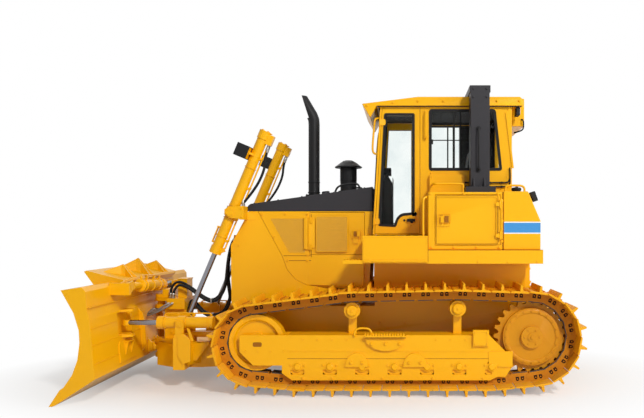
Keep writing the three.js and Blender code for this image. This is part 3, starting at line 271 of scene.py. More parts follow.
def side_bolts(bm, centre, side, radius, count, size, height, first=0.0, washer=True):
    """A ring of bolts on a side face, round a centre in mm."""
    x, y, z = centre
    for u, w in ring_spots((x, z), radius, count, first):
        add_bolt(bm, (u, y, w), (0, side, 0), size, height, washer)


def ring_edges(verts):
    """The edges that join a ring of vertices."""
    ring = set(verts)
    return list({e for v in verts for e in v.link_edges if e.other_vert(v) in ring})


def new_piece(name, bm, body, materials, bevel=0, replaces=(), turned=True):
    """Make a bmesh an object that rides on a body, with its finishes and a small bevel, in mm.
    """
    keys = [materials] if isinstance(materials, str) else materials
    if turned:
        bmesh.ops.recalc_face_normals(bm, faces=bm.faces)
    mesh = bpy.data.meshes.new(name)
    bm.to_mesh(mesh)
    bm.free()
    piece = bpy.data.objects.new(name, mesh)
    bpy.context.scene.collection.objects.link(piece)
    for key in keys:
        mesh.materials.append(finish(key))
    mesh.shade_smooth()
    mesh.set_sharp_from_angle(angle=math.radians(38))
    if bevel:
        rounding = piece.modifiers.new("rounding", "BEVEL")
        rounding.width = bevel * MM
        rounding.segments = 2
        rounding.limit_method = "ANGLE"
        rounding.angle_limit = math.radians(32)
        rounding.harden_normals = True
        rounding.use_clamp_overlap = True
    if body:
        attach(piece, body)
    if replaces:
        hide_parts(*replaces)
    return piece


def merged_copy(node):
    """A copy of a CAD node's mesh with its loose triangles merged into whole flat faces."""
    bm = bmesh.new()
    bm.from_mesh(frame["nodes"][node].data)
    bmesh.ops.remove_doubles(bm, verts=bm.verts, dist=3e-5)
    bmesh.ops.dissolve_degenerate(bm, edges=bm.edges, dist=2e-5)
    bmesh.ops.dissolve_limit(bm, angle_limit=math.radians(1.2), verts=bm.verts, edges=bm.edges)
    return bm


def body_of(node):
    """The body that a CAD node belongs to."""
    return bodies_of(frame["nodes"][node])[0]


def paint_faces(bm, index, chosen):
    """Give the faces that a test chooses another of the piece's materials."""
    for face in bm.faces:
        if chosen(face):
            face.material_index = index


# ------------------------------------------------------------------ finishes
class Shader:
    """Short hand for a material or node group tree."""

    def __init__(self, tree):
        self.tree = tree

    def node(self, kind, **values):
        made = self.tree.nodes.new(kind)
        for key, value in values.items():
            if hasattr(made, key):
                setattr(made, key, value)
            else:
                made.inputs[key.replace("_", " ")].default_value = value
        return made

    def link(self, output, target):
        self.tree.links.new(output, target)

    def coordinates(self):
        return self.node("ShaderNodeTexCoord").outputs["Object"]

    def noise(self, scale, detail=4, roughness=0.55, vector=None):
        made = self.node("ShaderNodeTexNoise", Scale=scale, Detail=detail, Roughness=roughness)
        self.link(vector or self.coordinates(), made.inputs["Vector"])
        return made.outputs["Fac"]

    def span(self, value, low, high, to_low=0.0, to_high=1.0):
        made = self.node("ShaderNodeMapRange")
        made.inputs["From Min"].default_value = low
        made.inputs["From Max"].default_value = high
        made.inputs["To Min"].default_value = to_low
        made.inputs["To Max"].default_value = to_high
        self.link(value, made.inputs["Value"])
        return made.outputs["Result"]

    def maths(self, kind, a, b=None):
        made = self.node("ShaderNodeMath")
        made.operation = kind
        for value, socket in ((a, made.inputs[0]), (b, made.inputs[1])):
            if value is None:
                continue
            if isinstance(value, (int, float)):
                socket.default_value = value
            else:
                self.link(value, socket)
        return made.outputs[0]

    def mix(self, factor, a, b, blend="MIX"):
        made = self.node("ShaderNodeMix")
        made.data_type = "RGBA"
        made.blend_type = blend
        for value, socket in ((factor, made.inputs["Factor"]), (a, made.inputs[6]), (b, made.inputs[7])):
            if isinstance(value, (int, float, tuple)):
                socket.default_value = value
            else:
                self.link(value, socket)
        return made.outputs[2]


def rgb(red, green, blue):
    """A display colour from 0 to 255 as a linear colour."""
    def linear(c):
        c /= 255
        return c / 12.92 if c <= 0.04045 else ((c + 0.055) / 1.055) ** 2.4
    return (linear(red), linear(green), linear(blue), 1.0)


def picked(label, about, default):
    """A colour that the user can change in the panel."""
    return bpy.props.FloatVectorProperty(name=label, description=about, default=default, size=4,
                                         min=0, max=1, subtype="COLOR")


def length(label, about, default, low, high):
    """A length in metres that the user can change in the panel."""
    return bpy.props.FloatProperty(name=label, description=about, default=default, min=low, max=high,
                                   subtype="DISTANCE", unit="LENGTH", precision=4)


class BulldozerPaint(bpy.types.PropertyGroup):
    """Colours of the main finishes"""
    paint: picked("Bodywork", "Paint of the bodywork, linkage and blade", rgb(240, 175, 0))
    track: picked("Tracks", "Paint of the track shoes and frames", rgb(232, 164, 4))
    charcoal: picked("Dark trim", "Paint of the grille, cab roof trim and guards", rgb(46, 45, 49))
    edge: picked("Cutting edge", "Worn steel along the foot of the blade", rgb(196, 148, 52))
    rubber: picked("Rubber", "Hoses, seals and mats", rgb(20, 20, 21))
    stripe: picked("Stripe", "Stripe on the service boxes", rgb(64, 142, 206))
    cloth: picked("Seat cloth", "Lighter tone of the seat's cloth", rgb(52, 53, 57))


class BulldozerSizes(bpy.types.PropertyGroup):
    """Sizes of the hoses and screens"""
    hose_radius: length("Hose radius", "Outer radius of the main hydraulic hoses", 0.0155, 0.008, 0.02)
    pilot_radius: length("Pilot hose radius", "Outer radius of the thin hoses", 0.0105, 0.005, 0.014)
    hole_pitch: length("Hole pitch", "Distance between the holes of the screens", 0.009, 0.006, 0.03)


class BulldozerLight(bpy.types.PropertyGroup):
    """Power of the lamps and of the surroundings"""
    key_power: bpy.props.FloatProperty(name="Key", description="Power of the main lamp",
                                       default=5600, min=0, subtype="POWER", unit="POWER")
    fill_power: bpy.props.FloatProperty(name="Fill", description="Power of the rear lamp",
                                        default=420, min=0, subtype="POWER", unit="POWER")
    rim_power: bpy.props.FloatProperty(name="Rim", description="Power of the far lamp",
                                       default=160, min=0, subtype="POWER", unit="POWER")
    sky: bpy.props.FloatProperty(name="Surroundings", description="Light from all round",
                                 default=0.32, min=0, subtype="FACTOR")


def colour(key):
    """A colour that the panel sets."""
    return tuple(getattr(bpy.context.scene.bulldozer_paint, key))


def new_group(name, inputs, outputs):
    """An empty node group with its sockets: its tree, what it is given and what it gives out."""
    group = bpy.data.node_groups.new(name, "ShaderNodeTree")
    for label, kind, default in inputs:
        socket = group.interface.new_socket(label, in_out="INPUT", socket_type=kind)
        socket.default_value = default
    for label, kind in outputs:
        group.interface.new_socket(label, in_out="OUTPUT", socket_type=kind)
    s = Shader(group)
    return s, s.node("NodeGroupInput").outputs, s.node("NodeGroupOutput").inputs


COLOUR, FLOAT = "NodeSocketColor", "NodeSocketFloat"


def grain_group():
    """Uneven tone, dust that gathers low down, and a fine grain with its own height."""
    if "surface_grain" in bpy.data.node_groups:
        return bpy.data.node_groups["surface_grain"]
    s, given, out = new_group("surface_grain", [
        ("Base", COLOUR, (0.8, 0.8, 0.8, 1)), ("Dust", COLOUR, rgb(176, 150, 110)),
        ("Dust Amount", FLOAT, 0.2), ("Tone", FLOAT, 0.08), ("Grain", FLOAT, 220.0),
        ("Roughness", FLOAT, 0.4), ("Roughness Spread", FLOAT, 0.12),
    ], [("Colour", COLOUR), ("Roughness", FLOAT), ("Height", FLOAT)])
    place = s.coordinates()
    broad = s.noise(1.7, 5, 0.6, place)
    patch = s.noise(9.0, 6, 0.65, place)
    fine = s.node("ShaderNodeTexNoise", Detail=2)
    s.link(place, fine.inputs["Vector"])
    s.link(given["Grain"], fine.inputs["Scale"])
    swing = s.maths("MULTIPLY", s.maths("SUBTRACT", broad, 0.5), given["Tone"])
    swing = s.maths("ADD", swing, s.maths("MULTIPLY", s.maths("SUBTRACT", patch, 0.5),
                                          s.maths("MULTIPLY", given["Tone"], 0.7)))
    bright = s.node("ShaderNodeHueSaturation")
    s.link(given["Base"], bright.inputs["Color"])
    s.link(s.maths("ADD", swing, 1.0), bright.inputs["Value"])
    parts = s.node("ShaderNodeSeparateXYZ")
    s.link(place, parts.inputs[0])
    low = s.span(parts.outputs["Z"], 0.15, 1.1, 1.0, 0.12)
    up = s.node("ShaderNodeNewGeometry")
    normal = s.node("ShaderNodeSeparateXYZ")
    s.link(up.outputs["Normal"], normal.inputs[0])
    flat = s.span(normal.outputs["Z"], 0.3, 0.95, 0.35, 1.0)
    patches = s.span(patch, 0.38, 0.72)
    dust = s.maths("MULTIPLY", s.maths("MULTIPLY", low, flat),
                   s.maths("MULTIPLY", patches, given["Dust Amount"]))
    s.link(s.mix(dust, bright.outputs[0], given["Dust"]), out["Colour"])
    rough = s.maths("ADD", given["Roughness"],
                    s.maths("MULTIPLY", s.maths("SUBTRACT", patch, 0.5), given["Roughness Spread"]))
    s.link(s.maths("ADD", rough, s.maths("MULTIPLY", dust, 0.4)), out["Roughness"])
    s.link(s.maths("ADD", fine.outputs["Fac"], s.maths("MULTIPLY", dust, 0.8)), out["Height"])
    return s.tree


def wear_group():
    """Scuffed patches where a surface rubs, from one tone to bare metal."""
    if "rubbed_wear" in bpy.data.node_groups:
        return bpy.data.node_groups["rubbed_wear"]
    s, given, out = new_group("rubbed_wear", [
        ("Base", COLOUR, (0.8, 0.8, 0.8, 1)), ("Worn", COLOUR, rgb(120, 112, 104)),
        ("Amount", FLOAT, 0.3), ("Scale", FLOAT, 14.0),
    ], [("Colour", COLOUR), ("Mask", FLOAT)])
    place = s.coordinates()
    stretch = s.node("ShaderNodeMapping")
    stretch.inputs["Scale"].default_value = (1, 1, 2.6)
    s.link(place, stretch.inputs["Vector"])
    broad = s.node("ShaderNodeTexNoise", Detail=8, Roughness=0.7)
    s.link(stretch.outputs[0], broad.inputs["Vector"])
    s.link(given["Scale"], broad.inputs["Scale"])
    edge = s.maths("SUBTRACT", 0.78, s.maths("MULTIPLY", given["Amount"], 0.45))
    mask = s.node("ShaderNodeMapRange")
    s.link(broad.outputs["Fac"], mask.inputs["Value"])
    s.link(edge, mask.inputs["From Min"])
    s.link(s.maths("ADD", edge, 0.07), mask.inputs["From Max"])
    s.link(s.mix(mask.outputs[0], given["Base"], given["Worn"]), out["Colour"])
    s.link(mask.outputs[0], out["Mask"])
    return s.tree


def grained(name, colour, roughness=0.4, tone=0.08, dust=0.2, grain=220.0, bump=0.06, spread=0.12,
            metallic=0.0, coat=0.0, wear=None):
    """A painted, cast, plastic or rubber finish from the shared groups."""
    made = bpy.data.materials.new(name)
    made.use_nodes = True
    s = Shader(made.node_tree)
    shader = made.node_tree.nodes["Principled BSDF"]
    group = s.node("ShaderNodeGroup")
    group.node_tree = grain_group()
    group.inputs["Base"].default_value = colour
    group.inputs["Dust Amount"].default_value = dust
    group.inputs["Tone"].default_value = tone
    group.inputs["Grain"].default_value = grain
    group.inputs["Roughness"].default_value = roughness
    group.inputs["Roughness Spread"].default_value = spread
    if wear:
        rub = s.node("ShaderNodeGroup")
        rub.node_tree = wear_group()
        rub.inputs["Base"].default_value = colour
        rub.inputs["Worn"].default_value = wear[0]
        rub.inputs["Amount"].default_value = wear[1]
        rub.inputs["Scale"].default_value = wear[2]
        s.link(rub.outputs["Colour"], group.inputs["Base"])
    relief = s.node("ShaderNodeBump", Strength=bump, Distance=0.001)
    s.link(group.outputs["Height"], relief.inputs["Height"])
    s.link(group.outputs["Colour"], shader.inputs["Base Color"])
    s.link(group.outputs["Roughness"], shader.inputs["Roughness"])
    s.link(relief.outputs["Normal"], shader.inputs["Normal"])
    shader.inputs["Metallic"].default_value = metallic
    shader.inputs["Coat Weight"].default_value = coat
    shader.inputs["Coat Roughness"].default_value = 0.12
    shader.inputs["Specular IOR Level"].default_value = 0.5 if metallic > 0.5 else 0.22
    return made


def glass_finish():
    """Clear, faintly uneven glass."""
    made = bpy.data.materials.new("tinted_glass")
    made.use_nodes = True
    s = Shader(made.node_tree)
    shader = made.node_tree.nodes["Principled BSDF"]
    tint = s.mix(s.span(s.noise(3.0, 5), 0.4, 0.75), rgb(250, 253, 252), rgb(238, 244, 244))
    s.link(tint, shader.inputs["Base Color"])
    s.link(s.span(s.noise(24.0, 6), 0.3, 0.8, 0.015, 0.06), shader.inputs["Roughness"])
    shader.inputs["Transmission Weight"].default_value = 1.0
    shader.inputs["IOR"].default_value = 1.08
    return made


def screen_finish():
    """Perforated sheet: rows of round holes, filled with dark brown as painted shade of the space behind, and
    pressed in by a bump.
    """
    made = bpy.data.materials.new("perforated_sheet")
    made.use_nodes = True
    s = Shader(made.node_tree)
    shader = made.node_tree.nodes["Principled BSDF"]
    parts = s.node("ShaderNodeSeparateXYZ")
    s.link(s.coordinates(), parts.inputs[0])
    pitch = bpy.context.scene.bulldozer_sizes.hole_pitch
    across = s.maths("SUBTRACT", s.maths("FRACT", s.maths("DIVIDE", parts.outputs["X"], pitch)), 0.5)
    upward = s.maths("SUBTRACT", s.maths("FRACT", s.maths("DIVIDE", parts.outputs["Z"], pitch)), 0.5)
    reach = s.maths("SQRT", s.maths("ADD", s.maths("MULTIPLY", across, across),
                                    s.maths("MULTIPLY", upward, upward)))
    hole = s.span(reach, 0.27, 0.33, 1.0, 0.0)
    # the holes are painted dark brown: painted shade of the space behind the sheet, which stays closed
    s.link(s.mix(hole, colour("paint"), rgb(70, 50, 18)), shader.inputs["Base Color"])
    s.link(s.span(hole, 0, 1, 0.4, 0.9), shader.inputs["Roughness"])
    relief = s.node("ShaderNodeBump", Strength=0.5, Distance=0.002)
    s.link(s.maths("SUBTRACT", 1.0, hole), relief.inputs["Height"])
    s.link(relief.outputs["Normal"], shader.inputs["Normal"])
    return made


def cloth_finish():
    """Dark woven seat cloth."""
    made = bpy.data.materials.new("seat_cloth")
    made.use_nodes = True
    s = Shader(made.node_tree)
    shader = made.node_tree.nodes["Principled BSDF"]
    weave = s.node("ShaderNodeTexVoronoi", Scale=260.0)
    s.link(s.coordinates(), weave.inputs["Vector"])
    tone = s.span(s.noise(14.0, 5), 0.3, 0.7)
    s.link(s.mix(tone, rgb(34, 35, 38), colour("cloth")), shader.inputs["Base Color"])
    s.link(s.span(weave.outputs["Distance"], 0, 0.6, 0.75, 0.95), shader.inputs["Roughness"])
    relief = s.node("ShaderNodeBump", Strength=0.35, Distance=0.001)
    s.link(weave.outputs["Distance"], relief.inputs["Height"])
    s.link(relief.outputs["Normal"], shader.inputs["Normal"])
    shader.inputs["Sheen Weight"].default_value = 0.25
    return made


FINISHES = {
    "paint": lambda: grained("yellow_paint", colour("paint"), 0.38, 0.06, 0.03, 260, 0.05, 0.1, coat=0.12),
    "track": lambda: grained("track_paint", colour("track"), 0.55, 0.2, 0.35, 160, 0.2, 0.2,
                             wear=(rgb(124, 92, 52), 0.32, 11.0)),
    "blade_face": lambda: grained("blade_paint", colour("paint"), 0.4, 0.08, 0.08, 200, 0.08, 0.16,
                                  wear=(rgb(246, 184, 20), 0.4, 3.0), coat=0.1),
    "edge": lambda: grained("cutting_edge", colour("edge"), 0.45, 0.2, 0.5, 120, 0.2, 0.2,
                            metallic=0.2, wear=(rgb(134, 120, 100), 0.4, 5.0)),
    "charcoal": lambda: grained("charcoal_paint", colour("charcoal"), 0.48, 0.16, 0.05, 300, 0.05),
    "black": lambda: grained("black_steel", rgb(26, 26, 28), 0.5, 0.2, 0.05, 300, 0.08, metallic=0.1),
    "rubber": lambda: grained("black_rubber", colour("rubber"), 0.62, 0.2, 0.1, 500, 0.14),
    "plastic": lambda: grained("moulded_plastic", rgb(30, 30, 32), 0.5, 0.12, 0.05, 900, 0.2),
    "chrome": lambda: grained("rod_chrome", rgb(138, 138, 144), 0.24, 0.05, 0.0, 60, 0.01, 0.06,
                              metallic=1.0),
    "steel": lambda: grained("plain_steel", rgb(168, 164, 156), 0.35, 0.15, 0.2, 200, 0.06, 0.2,
                             metallic=0.9),
    "grey_hose": lambda: grained("braided_hose", rgb(132, 130, 128), 0.5, 0.2, 0.1, 700, 0.3, metallic=0.3),
    "inner": lambda: grained("cab_lining", rgb(58, 58, 62), 0.7, 0.12, 0.1, 600, 0.2),
    "engine": lambda: grained("engine_paint", rgb(206, 150, 24), 0.5, 0.2, 0.3, 200, 0.1),
    # the chain's finish: the track paint made darker and browner, as painted shade for the chain and roller
    # flanges; its rubbed patches are wear
    "link": lambda: grained("chain_paint", rgb(196, 124, 10), 0.55, 0.25, 0.2, 160, 0.2, 0.2,
                            wear=(rgb(120, 84, 40), 0.3, 11.0)),
    "worn_steel": lambda: grained("worn_steel", rgb(84, 78, 70), 0.42, 0.25, 0.1, 160, 0.1, 0.2,
                                  metallic=0.4),
    # near-black brown: painted shade for the recesses in the chain links
    "hollow": lambda: grained("bolt_pocket", rgb(46, 22, 6), 0.8, 0.2, 0.05, 200, 0.05),
    # the sprocket's finish: the yellow paint made darker, as painted shade for the sprocket that sits
    # recessed inside the track
    "drive": lambda: grained("drive_paint", rgb(206, 138, 6), 0.45, 0.12, 0.06, 220, 0.06, 0.1, coat=0.08),
    "seam": lambda: grained("seam_shadow", rgb(150, 92, 12), 0.6, 0.2, 0.1, 200, 0.05),
    "lens": lambda: grained("lamp_lens", rgb(222, 226, 232), 0.1, 0.05, 0.0, 90, 0.2, coat=0.8),
    "red": lambda: grained("red_lens", rgb(150, 24, 18), 0.2, 0.1, 0.0, 90, 0.1, coat=0.6),
    "blue": lambda: grained("blue_stripe", colour("stripe"), 0.34, 0.05, 0.05, 260, 0.04, coat=0.25),
    "pale": lambda: grained("pale_stripe", rgb(226, 230, 232), 0.34, 0.05, 0.05, 260, 0.04, coat=0.25),
    "glass": glass_finish,
    "screen": screen_finish,
    "cloth": cloth_finish,
}


MADE = {}


def finish(key):
    """The material of that name, built the first time it is asked for."""
    if key not in MADE:
        MADE[key] = FINISHES[key]()
    return MADE[key]


# ------------------------------------------------------------------ the track's belt
SHOES = 44
SHOE_WIDTH = 560
SHOE_THICK = 22
GROUSER = 66
CHAIN_DEPTH = 135
RAIL_HALF = 38            # mm, half the clear width between the rails
RAIL_THICK = 42
ROLLERS_X = [1180 - i * (1180 + 950) / 6 for i in range(7)]
ROLLER_Z = 301
IDLER = (1639, 556, 310)  # x, z, radius in mm
SPROCKET = (-1393, 623, 375)
BELT = [(1180, 301, 235), (1639, 556, 445), (586, 909, 227), (-584, 932, 227), (-1393, 623, 510),
        (-950, 301, 235)]


def belt_pieces(inset):
    """Arcs and straight runs of the belt at a depth below the shoes' outer face."""
    circles = [(x, z, r - inset) for x, z, r in BELT]
    count = len(circles)
    normals = []
    for i, (x, z, r) in enumerate(circles):
        nx, nz, nr = circles[(i + 1) % count]
        heading = math.atan2(nz - z, nx - x)
        normals.append(heading - math.pi / 2 + math.asin((r - nr) / math.hypot(nx - x, nz - z)))
    pieces = []
    for i, (x, z, r) in enumerate(circles):
        before = normals[i - 1]
        turn = (normals[i] - before + 4 * math.pi) % (2 * math.pi)
        pieces.append(("arc", turn * r, x, z, r, before))
        nx, nz, nr = circles[(i + 1) % count]
        c, s = math.cos(normals[i]), math.sin(normals[i])
        a, b = (x + r * c, z + r * s), (nx + nr * c, nz + nr * s)
        pieces.append(("run", math.dist(a, b), a, b, normals[i], 0))
    return pieces


def belt_point(pieces, s):
    """(x, z, outward angle) at a distance along the belt."""
    total = sum(piece[1] for piece in pieces)
    s %= total
    for piece in pieces:
        if s <= piece[1]:
            break
        s -= piece[1]
    if piece[0] == "arc":
        _, _, x, z, r, before = piece
        normal = before + s / r
        return x + r * math.cos(normal), z + r * math.sin(normal), normal
    _, length, a, b, normal, _ = piece
    t = s / length
    return a[0] + (b[0] - a[0]) * t, a[1] + (b[1] - a[1]) * t, normal


def shoe_places():
    """Where each shoe's grouser stands: (x, z, outward angle), at the CAD's own spacing."""
    pieces = belt_pieces(0)
    total = sum(piece[1] for piece in pieces)
    return [belt_point(pieces, total * i / SHOES + 17) for i in range(SHOES)], total / SHOES


def stood(verts, bm, x, z, normal, y):
    """Stand verts made round the origin (local X along the belt, Z outward) at a place."""
    turn = Matrix.Rotation(math.pi / 2 - normal, 4, "Y")
    bmesh.ops.transform(bm, matrix=Matrix.Translation(at(x, y, z)) @ turn, verts=verts)


def local_prism(bm, outline, half, middle=0):
    """A prism along Y of (x, z) pairs in mm, round the origin."""
    verts = [bm.verts.new((x * MM, (middle - half) * MM, z * MM)) for x, z in outline]
    made = bmesh.ops.extrude_face_region(bm, geom=[bm.faces.new(verts)], use_keep_orig=True)
    pushed = [v for v in made["geom"] if isinstance(v, bmesh.types.BMVert)]
    bmesh.ops.translate(bm, vec=(0, 2 * half * MM, 0), verts=pushed)
    return verts + pushed


def local_rod(bm, x, z, radius, half, middle=0, segments=14):
    """A bar along Y round the origin's (x, z), half its length each way from the middle."""
    made = bmesh.ops.create_cone(bm, cap_ends=True, segments=segments, radius1=radius * MM,
                                 radius2=radius * MM, depth=2 * half * MM)
    matrix = Matrix.Translation((x * MM, middle * MM, z * MM)) @ Matrix.Rotation(math.pi / 2, 4, "X")
    return moved(bm, made, matrix)


def local_bolt(bm, x, y, z):
    """A six-sided bolt head that stands along Z round the origin."""
    size, height, rise = 12, 13, 6
    made = bmesh.ops.create_cone(bm, cap_ends=True, segments=6, radius1=size * MM, radius2=size * MM,
                                 depth=height * MM)
    return moved(bm, made, Matrix.Translation((x * MM, y * MM, (z + rise) * MM)))


class BULLDOZER_OT_tracks(bpy.types.Operator):
    """Shoes with their grousers and bolts, chain links and pins of both tracks"""
    bl_idname = "bulldozer.tracks"
    bl_label = "Tracks"

    def execute(self, context):
        places, pitch = shoe_places()
        half = SHOE_WIDTH / 2
        lead, trail = pitch * 0.62, pitch * 0.41
        plate = [(-trail, -20), (-trail + 6, -4), (-17, 0), (-10, GROUSER - 4), (-7, GROUSER),
                 (8, GROUSER), (11, GROUSER - 4), (17, 0), (lead - 22, -2), (lead - 10, -12),
                 (lead - 12, -18), (lead - 26, -SHOE_THICK + 1), (-trail + 8, -SHOE_THICK)]
        link = [(-pitch * 0.5, -SHOE_THICK), (-pitch * 0.5, -96), (-pitch * 0.42, -CHAIN_DEPTH + 1),
                (pitch * 0.42, -CHAIN_DEPTH + 1), (pitch * 0.5, -96), (pitch * 0.5, -SHOE_THICK)]
        strip = [(-pitch * 0.4, -CHAIN_DEPTH + 1), (-pitch * 0.4, -CHAIN_DEPTH + 11),
                 (pitch * 0.4, -CHAIN_DEPTH + 11), (pitch * 0.4, -CHAIN_DEPTH + 1)]
        pocket = [(-19, -84), (-19, -54), (-13, -42), (-5, -37), (5, -37), (13, -42), (19, -54), (19, -84)]
        for name, side in SIDES:
            y = side * TRACK_Y
            shoes = bmesh.new()
            for x, z, normal in places:
                stood(local_prism(shoes, plate, half), shoes, x, z, normal, y)
            new_piece(f"track_shoes_{name}", shoes, "chassis", "track", bevel=2.0,
                      replaces=(f"track_{name}",))
            chain, worn, dark = bmesh.new(), bmesh.new(), bmesh.new()
            for i, (x, z, normal) in enumerate(places):
                for edge in (-1, 1):
                    middle = edge * (RAIL_HALF + RAIL_THICK / 2)
                    half_link = RAIL_THICK / 2 - 3 + (i % 2) * 0.7
                    face = middle + edge * half_link
                    made = local_prism(chain, link, half_link, middle)
                    made += local_rod(chain, -pitch * 0.5, -84, 33, 1.8, face + edge)
                    for dx in (-30, 26):
                        made += local_rod(chain, dx, -60, 8, 4, face + edge * 3, 6)
                        # flat dark pockets on the link's face: painted shade where recesses would be; nothing
                        # is cut in
                        stood(local_prism(dark, [(px + dx, pz) for px, pz in pocket], 0.9, face), dark,
                              x, z, normal, y)
                    for dx in (-pitch * 0.30, pitch * 0.22):
                        made += local_bolt(chain, dx, middle - edge * 8, 0)
                        made += local_bolt(chain, dx, middle + edge * 78, 0)
                    stood(made, chain, x, z, normal, y)
                    stood(local_prism(worn, strip, half_link + 1.2, middle), worn, x, z, normal, y)
                pin = local_rod(chain, -pitch * 0.5, -84, 24, RAIL_HALF + RAIL_THICK + 2)
                pin += local_rod(chain, -pitch * 0.5, -84, 31, RAIL_HALF)
                stood(pin, chain, x, z, normal, y)
            # the chain takes the darker chain finish: painted shade
            new_piece(f"track_chain_{name}", chain, "chassis", "link")
            new_piece(f"track_rail_edges_{name}", worn, "chassis", "worn_steel")
            new_piece(f"track_pockets_{name}", dark, "chassis", "hollow")
        return {"FINISHED"}


class BULLDOZER_OT_wheels(bpy.types.Operator):
    """Idlers, sprockets, rollers and carrier rollers"""
    bl_idname = "bulldozer.wheels"
    bl_label = "Wheels"

    def execute(self, context):
        for name, side in SIDES:
            new_piece(f"idler_wheel_{name}", self.idler(name, side), body_of(f"idler_{name}"), "paint",
                      bevel=3, replaces=(f"idler_{name}",))
            # the sprocket takes the darker copy of the yellow paint: painted shade
            new_piece(f"sprocket_wheel_{name}", self.sprocket(name, side), body_of(f"sprocket_{name}"),
                      "drive", bevel=3, replaces=(f"sprocket_{name}",))
            # the roller flanges also take the darker chain finish: painted shade
            new_piece(f"roller_flanges_{name}", self.rollers(side), "chassis", "link", bevel=2)
        return {"FINISHED"}

    def idler(self, name, side):
        bm = merged_copy(f"idler_{name}")
        x, z, r = IDLER
        face = TRACK_Y + RAIL_HALF + RAIL_THICK
        out = (x, side * (face + 80), z)
        add_turned(bm, [(r - 46, 0), (r - 46, 3), (r - 54, 3), (r - 70, -22), (r - 78, -24), (r - 78, -30),
                        (r - 46, -30)], (x, side * face, z), out, 48, closed=True)
        side_bolts(bm, (x, side * (face + 1), z), side, 88, 8, 9, 7, math.pi / 8)
        return bm

    def sprocket(self, name, side):
        bm = merged_copy(f"sprocket_{name}")
        x, z, _ = SPROCKET
        disc, cap = TRACK_Y + 95, TRACK_Y + 135
        out = (x, side * (disc + 80), z)
        add_turned(bm, [(300, -2), (300, 7), (293, 10), (268, 10), (262, 6), (262, -2)],
                   (x, side * disc, z), out, 56, closed=True)
        side_bolts(bm, (x, side * (disc + 10), z), side, 281, 20, 10, 9)
        side_bolts(bm, (x, side * cap, z), side, 84, 6, 8, 7)
        add_rod(bm, (x, side * cap, z), (x, side * (cap + 8), z), 46, 28)
        add_rod(bm, (x, side * (cap + 8), z), (x, side * (cap + 20), z), 20, 6)
        return bm

    def rollers(self, side):
        bm = bmesh.new()
        y = side * TRACK_Y
        for x in ROLLERS_X:
            for edge in (-1, 1):
                a = y + edge * (RAIL_HALF + RAIL_THICK + 3)
                add_rod(bm, (x, a, ROLLER_Z), (x, a + edge * 16, ROLLER_Z), 104, 36)
                add_rod(bm, (x, a + edge * 16, ROLLER_Z), (x, a + edge * 30, ROLLER_Z), 62, 24)
        return bm


# ------------------------------------------------------------------ carried-over nodes
PAINTED = {
    # node: (finish, bevel in mm)
    "main_frame": ("paint", 4), "engine": ("engine", 4), "radiator_guard": ("paint", 5),
    "hood_top": ("charcoal", 6), "exhaust_stack": ("black", 1.5), "air_precleaner": ("black", 2),
    "fuel_tank": ("paint", 10), "cab_shell": ("paint", 8), "cab_roof": ("paint", 12),
    "control_console": ("plastic", 8), "rops_frame": ("charcoal", 10), "c_frame": ("paint", 5),
    "blade_carrier": ("paint", 4), "blade": ("blade_face", 3), "tilt_cylinder_barrel": ("paint", 2),
    "tilt_cylinder_rod": ("chrome", 1.5), "radiator_grille": ("charcoal", 1),
}
PAINTED_PAIRS = {
    "track_frame": ("paint", 5), "side_panel": ("paint", 4), "fender": ("paint", 6),
    "service_box": ("paint", 10), "engine_door": ("paint", 4), "service_door": ("paint", 4),
    "cab_door": ("paint", 6), "lift_cylinder_barrel": ("paint", 3), "lift_cylinder_rod": ("chrome", 2),
    "angle_yoke": ("paint", 2), "angle_cylinder_barrel": ("paint", 2),
    "angle_cylinder_rod": ("chrome", 1.5),
}


class BULLDOZER_OT_bodywork(bpy.types.Operator):
    """Rounded, painted copies of the frame's own steel parts"""
    bl_idname = "bulldozer.bodywork"
    bl_label = "Bodywork"

    def execute(self, context):
        wanted = dict(PAINTED)
        for node, values in PAINTED_PAIRS.items():
            wanted.update({f"{node}_{name}": values for name, _ in SIDES})
        for node, (key, bevel) in wanted.items():
            bm = merged_copy(node)
            materials = [key]
            if node.endswith(("rod", "rod_left", "rod_right")):
                materials.append("paint")
                self.paint_eyes(bm, node)
            if node == "blade":
                materials.append("edge")
                paint_faces(bm, 1, lambda face: face.calc_center_median().z < 0.18)
            if node.startswith("lift_cylinder_barrel"):
                materials.append("black")
                paint_faces(bm, 1, self.on_lamp)
            if node == "cab_shell":
                materials.append("inner")
                paint_faces(bm, 1, self.inside_cab)
            new_piece(f"{node}_finish", bm, body_of(node), materials, bevel=bevel, turned=False,
                      replaces=(node,))
        for node in ("windshield", "rear_window", "side_window_left", "side_window_right",
                     "door_glass_left", "door_glass_right"):
            self.assign(node, "glass")
        return {"FINISHED"}

    def assign(self, node, key):
        """Give a CAD node's own mesh a finish."""
        mesh = frame["nodes"][node].data
        mesh.materials.clear()
        mesh.materials.append(finish(key))

    def paint_eyes(self, bm, node):
        """The rod's eye is painted, and the rod itself is bright."""
        eye, reach = {"lift": ((LIFT_EYE[0], LIFT_Y, LIFT_EYE[1]), 62), "angle": (ANGLE_EYE, 58),
                      "tilt": (TILT_EYE, 58)}[node.split("_")[0]]
        x, y, z = eye
        centre = at(x, -y if node.endswith("right") else y, z)
        paint_faces(bm, 1, lambda face: (face.calc_center_median() - centre).length < reach * MM)

    def on_lamp(self, face):
        """True on the work lamp in front of the lift cylinder's top."""
        c = face.calc_center_median()
        dx, dz = (c.x - DATUM_X) / MM - LIFT_TOP[0], c.z / MM - LIFT_TOP[1]
        along = Vector(LIFT_EYE) - Vector(LIFT_TOP)
        return (dz * along.x - dx * along.y) / along.length > LAMP_REACH

    def inside_cab(self, face):
        """True on the faces that line the cab."""
        c = face.calc_center_median()
        low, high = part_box("cab_shell")
        wall, ceiling = 0.045, 0.03
        return (low.x + wall < c.x < high.x - wall and low.y + wall < c.y < high.y - wall
                and c.z < high.z - ceiling)


# ------------------------------------------------------------------ stage
LENS = 39.3                    # mm
SHIFT = (-0.129, 0.033)        # parts of the picture's width
EYE = (-0.8245, 8.78, 1.797)   # m, where the camera stands


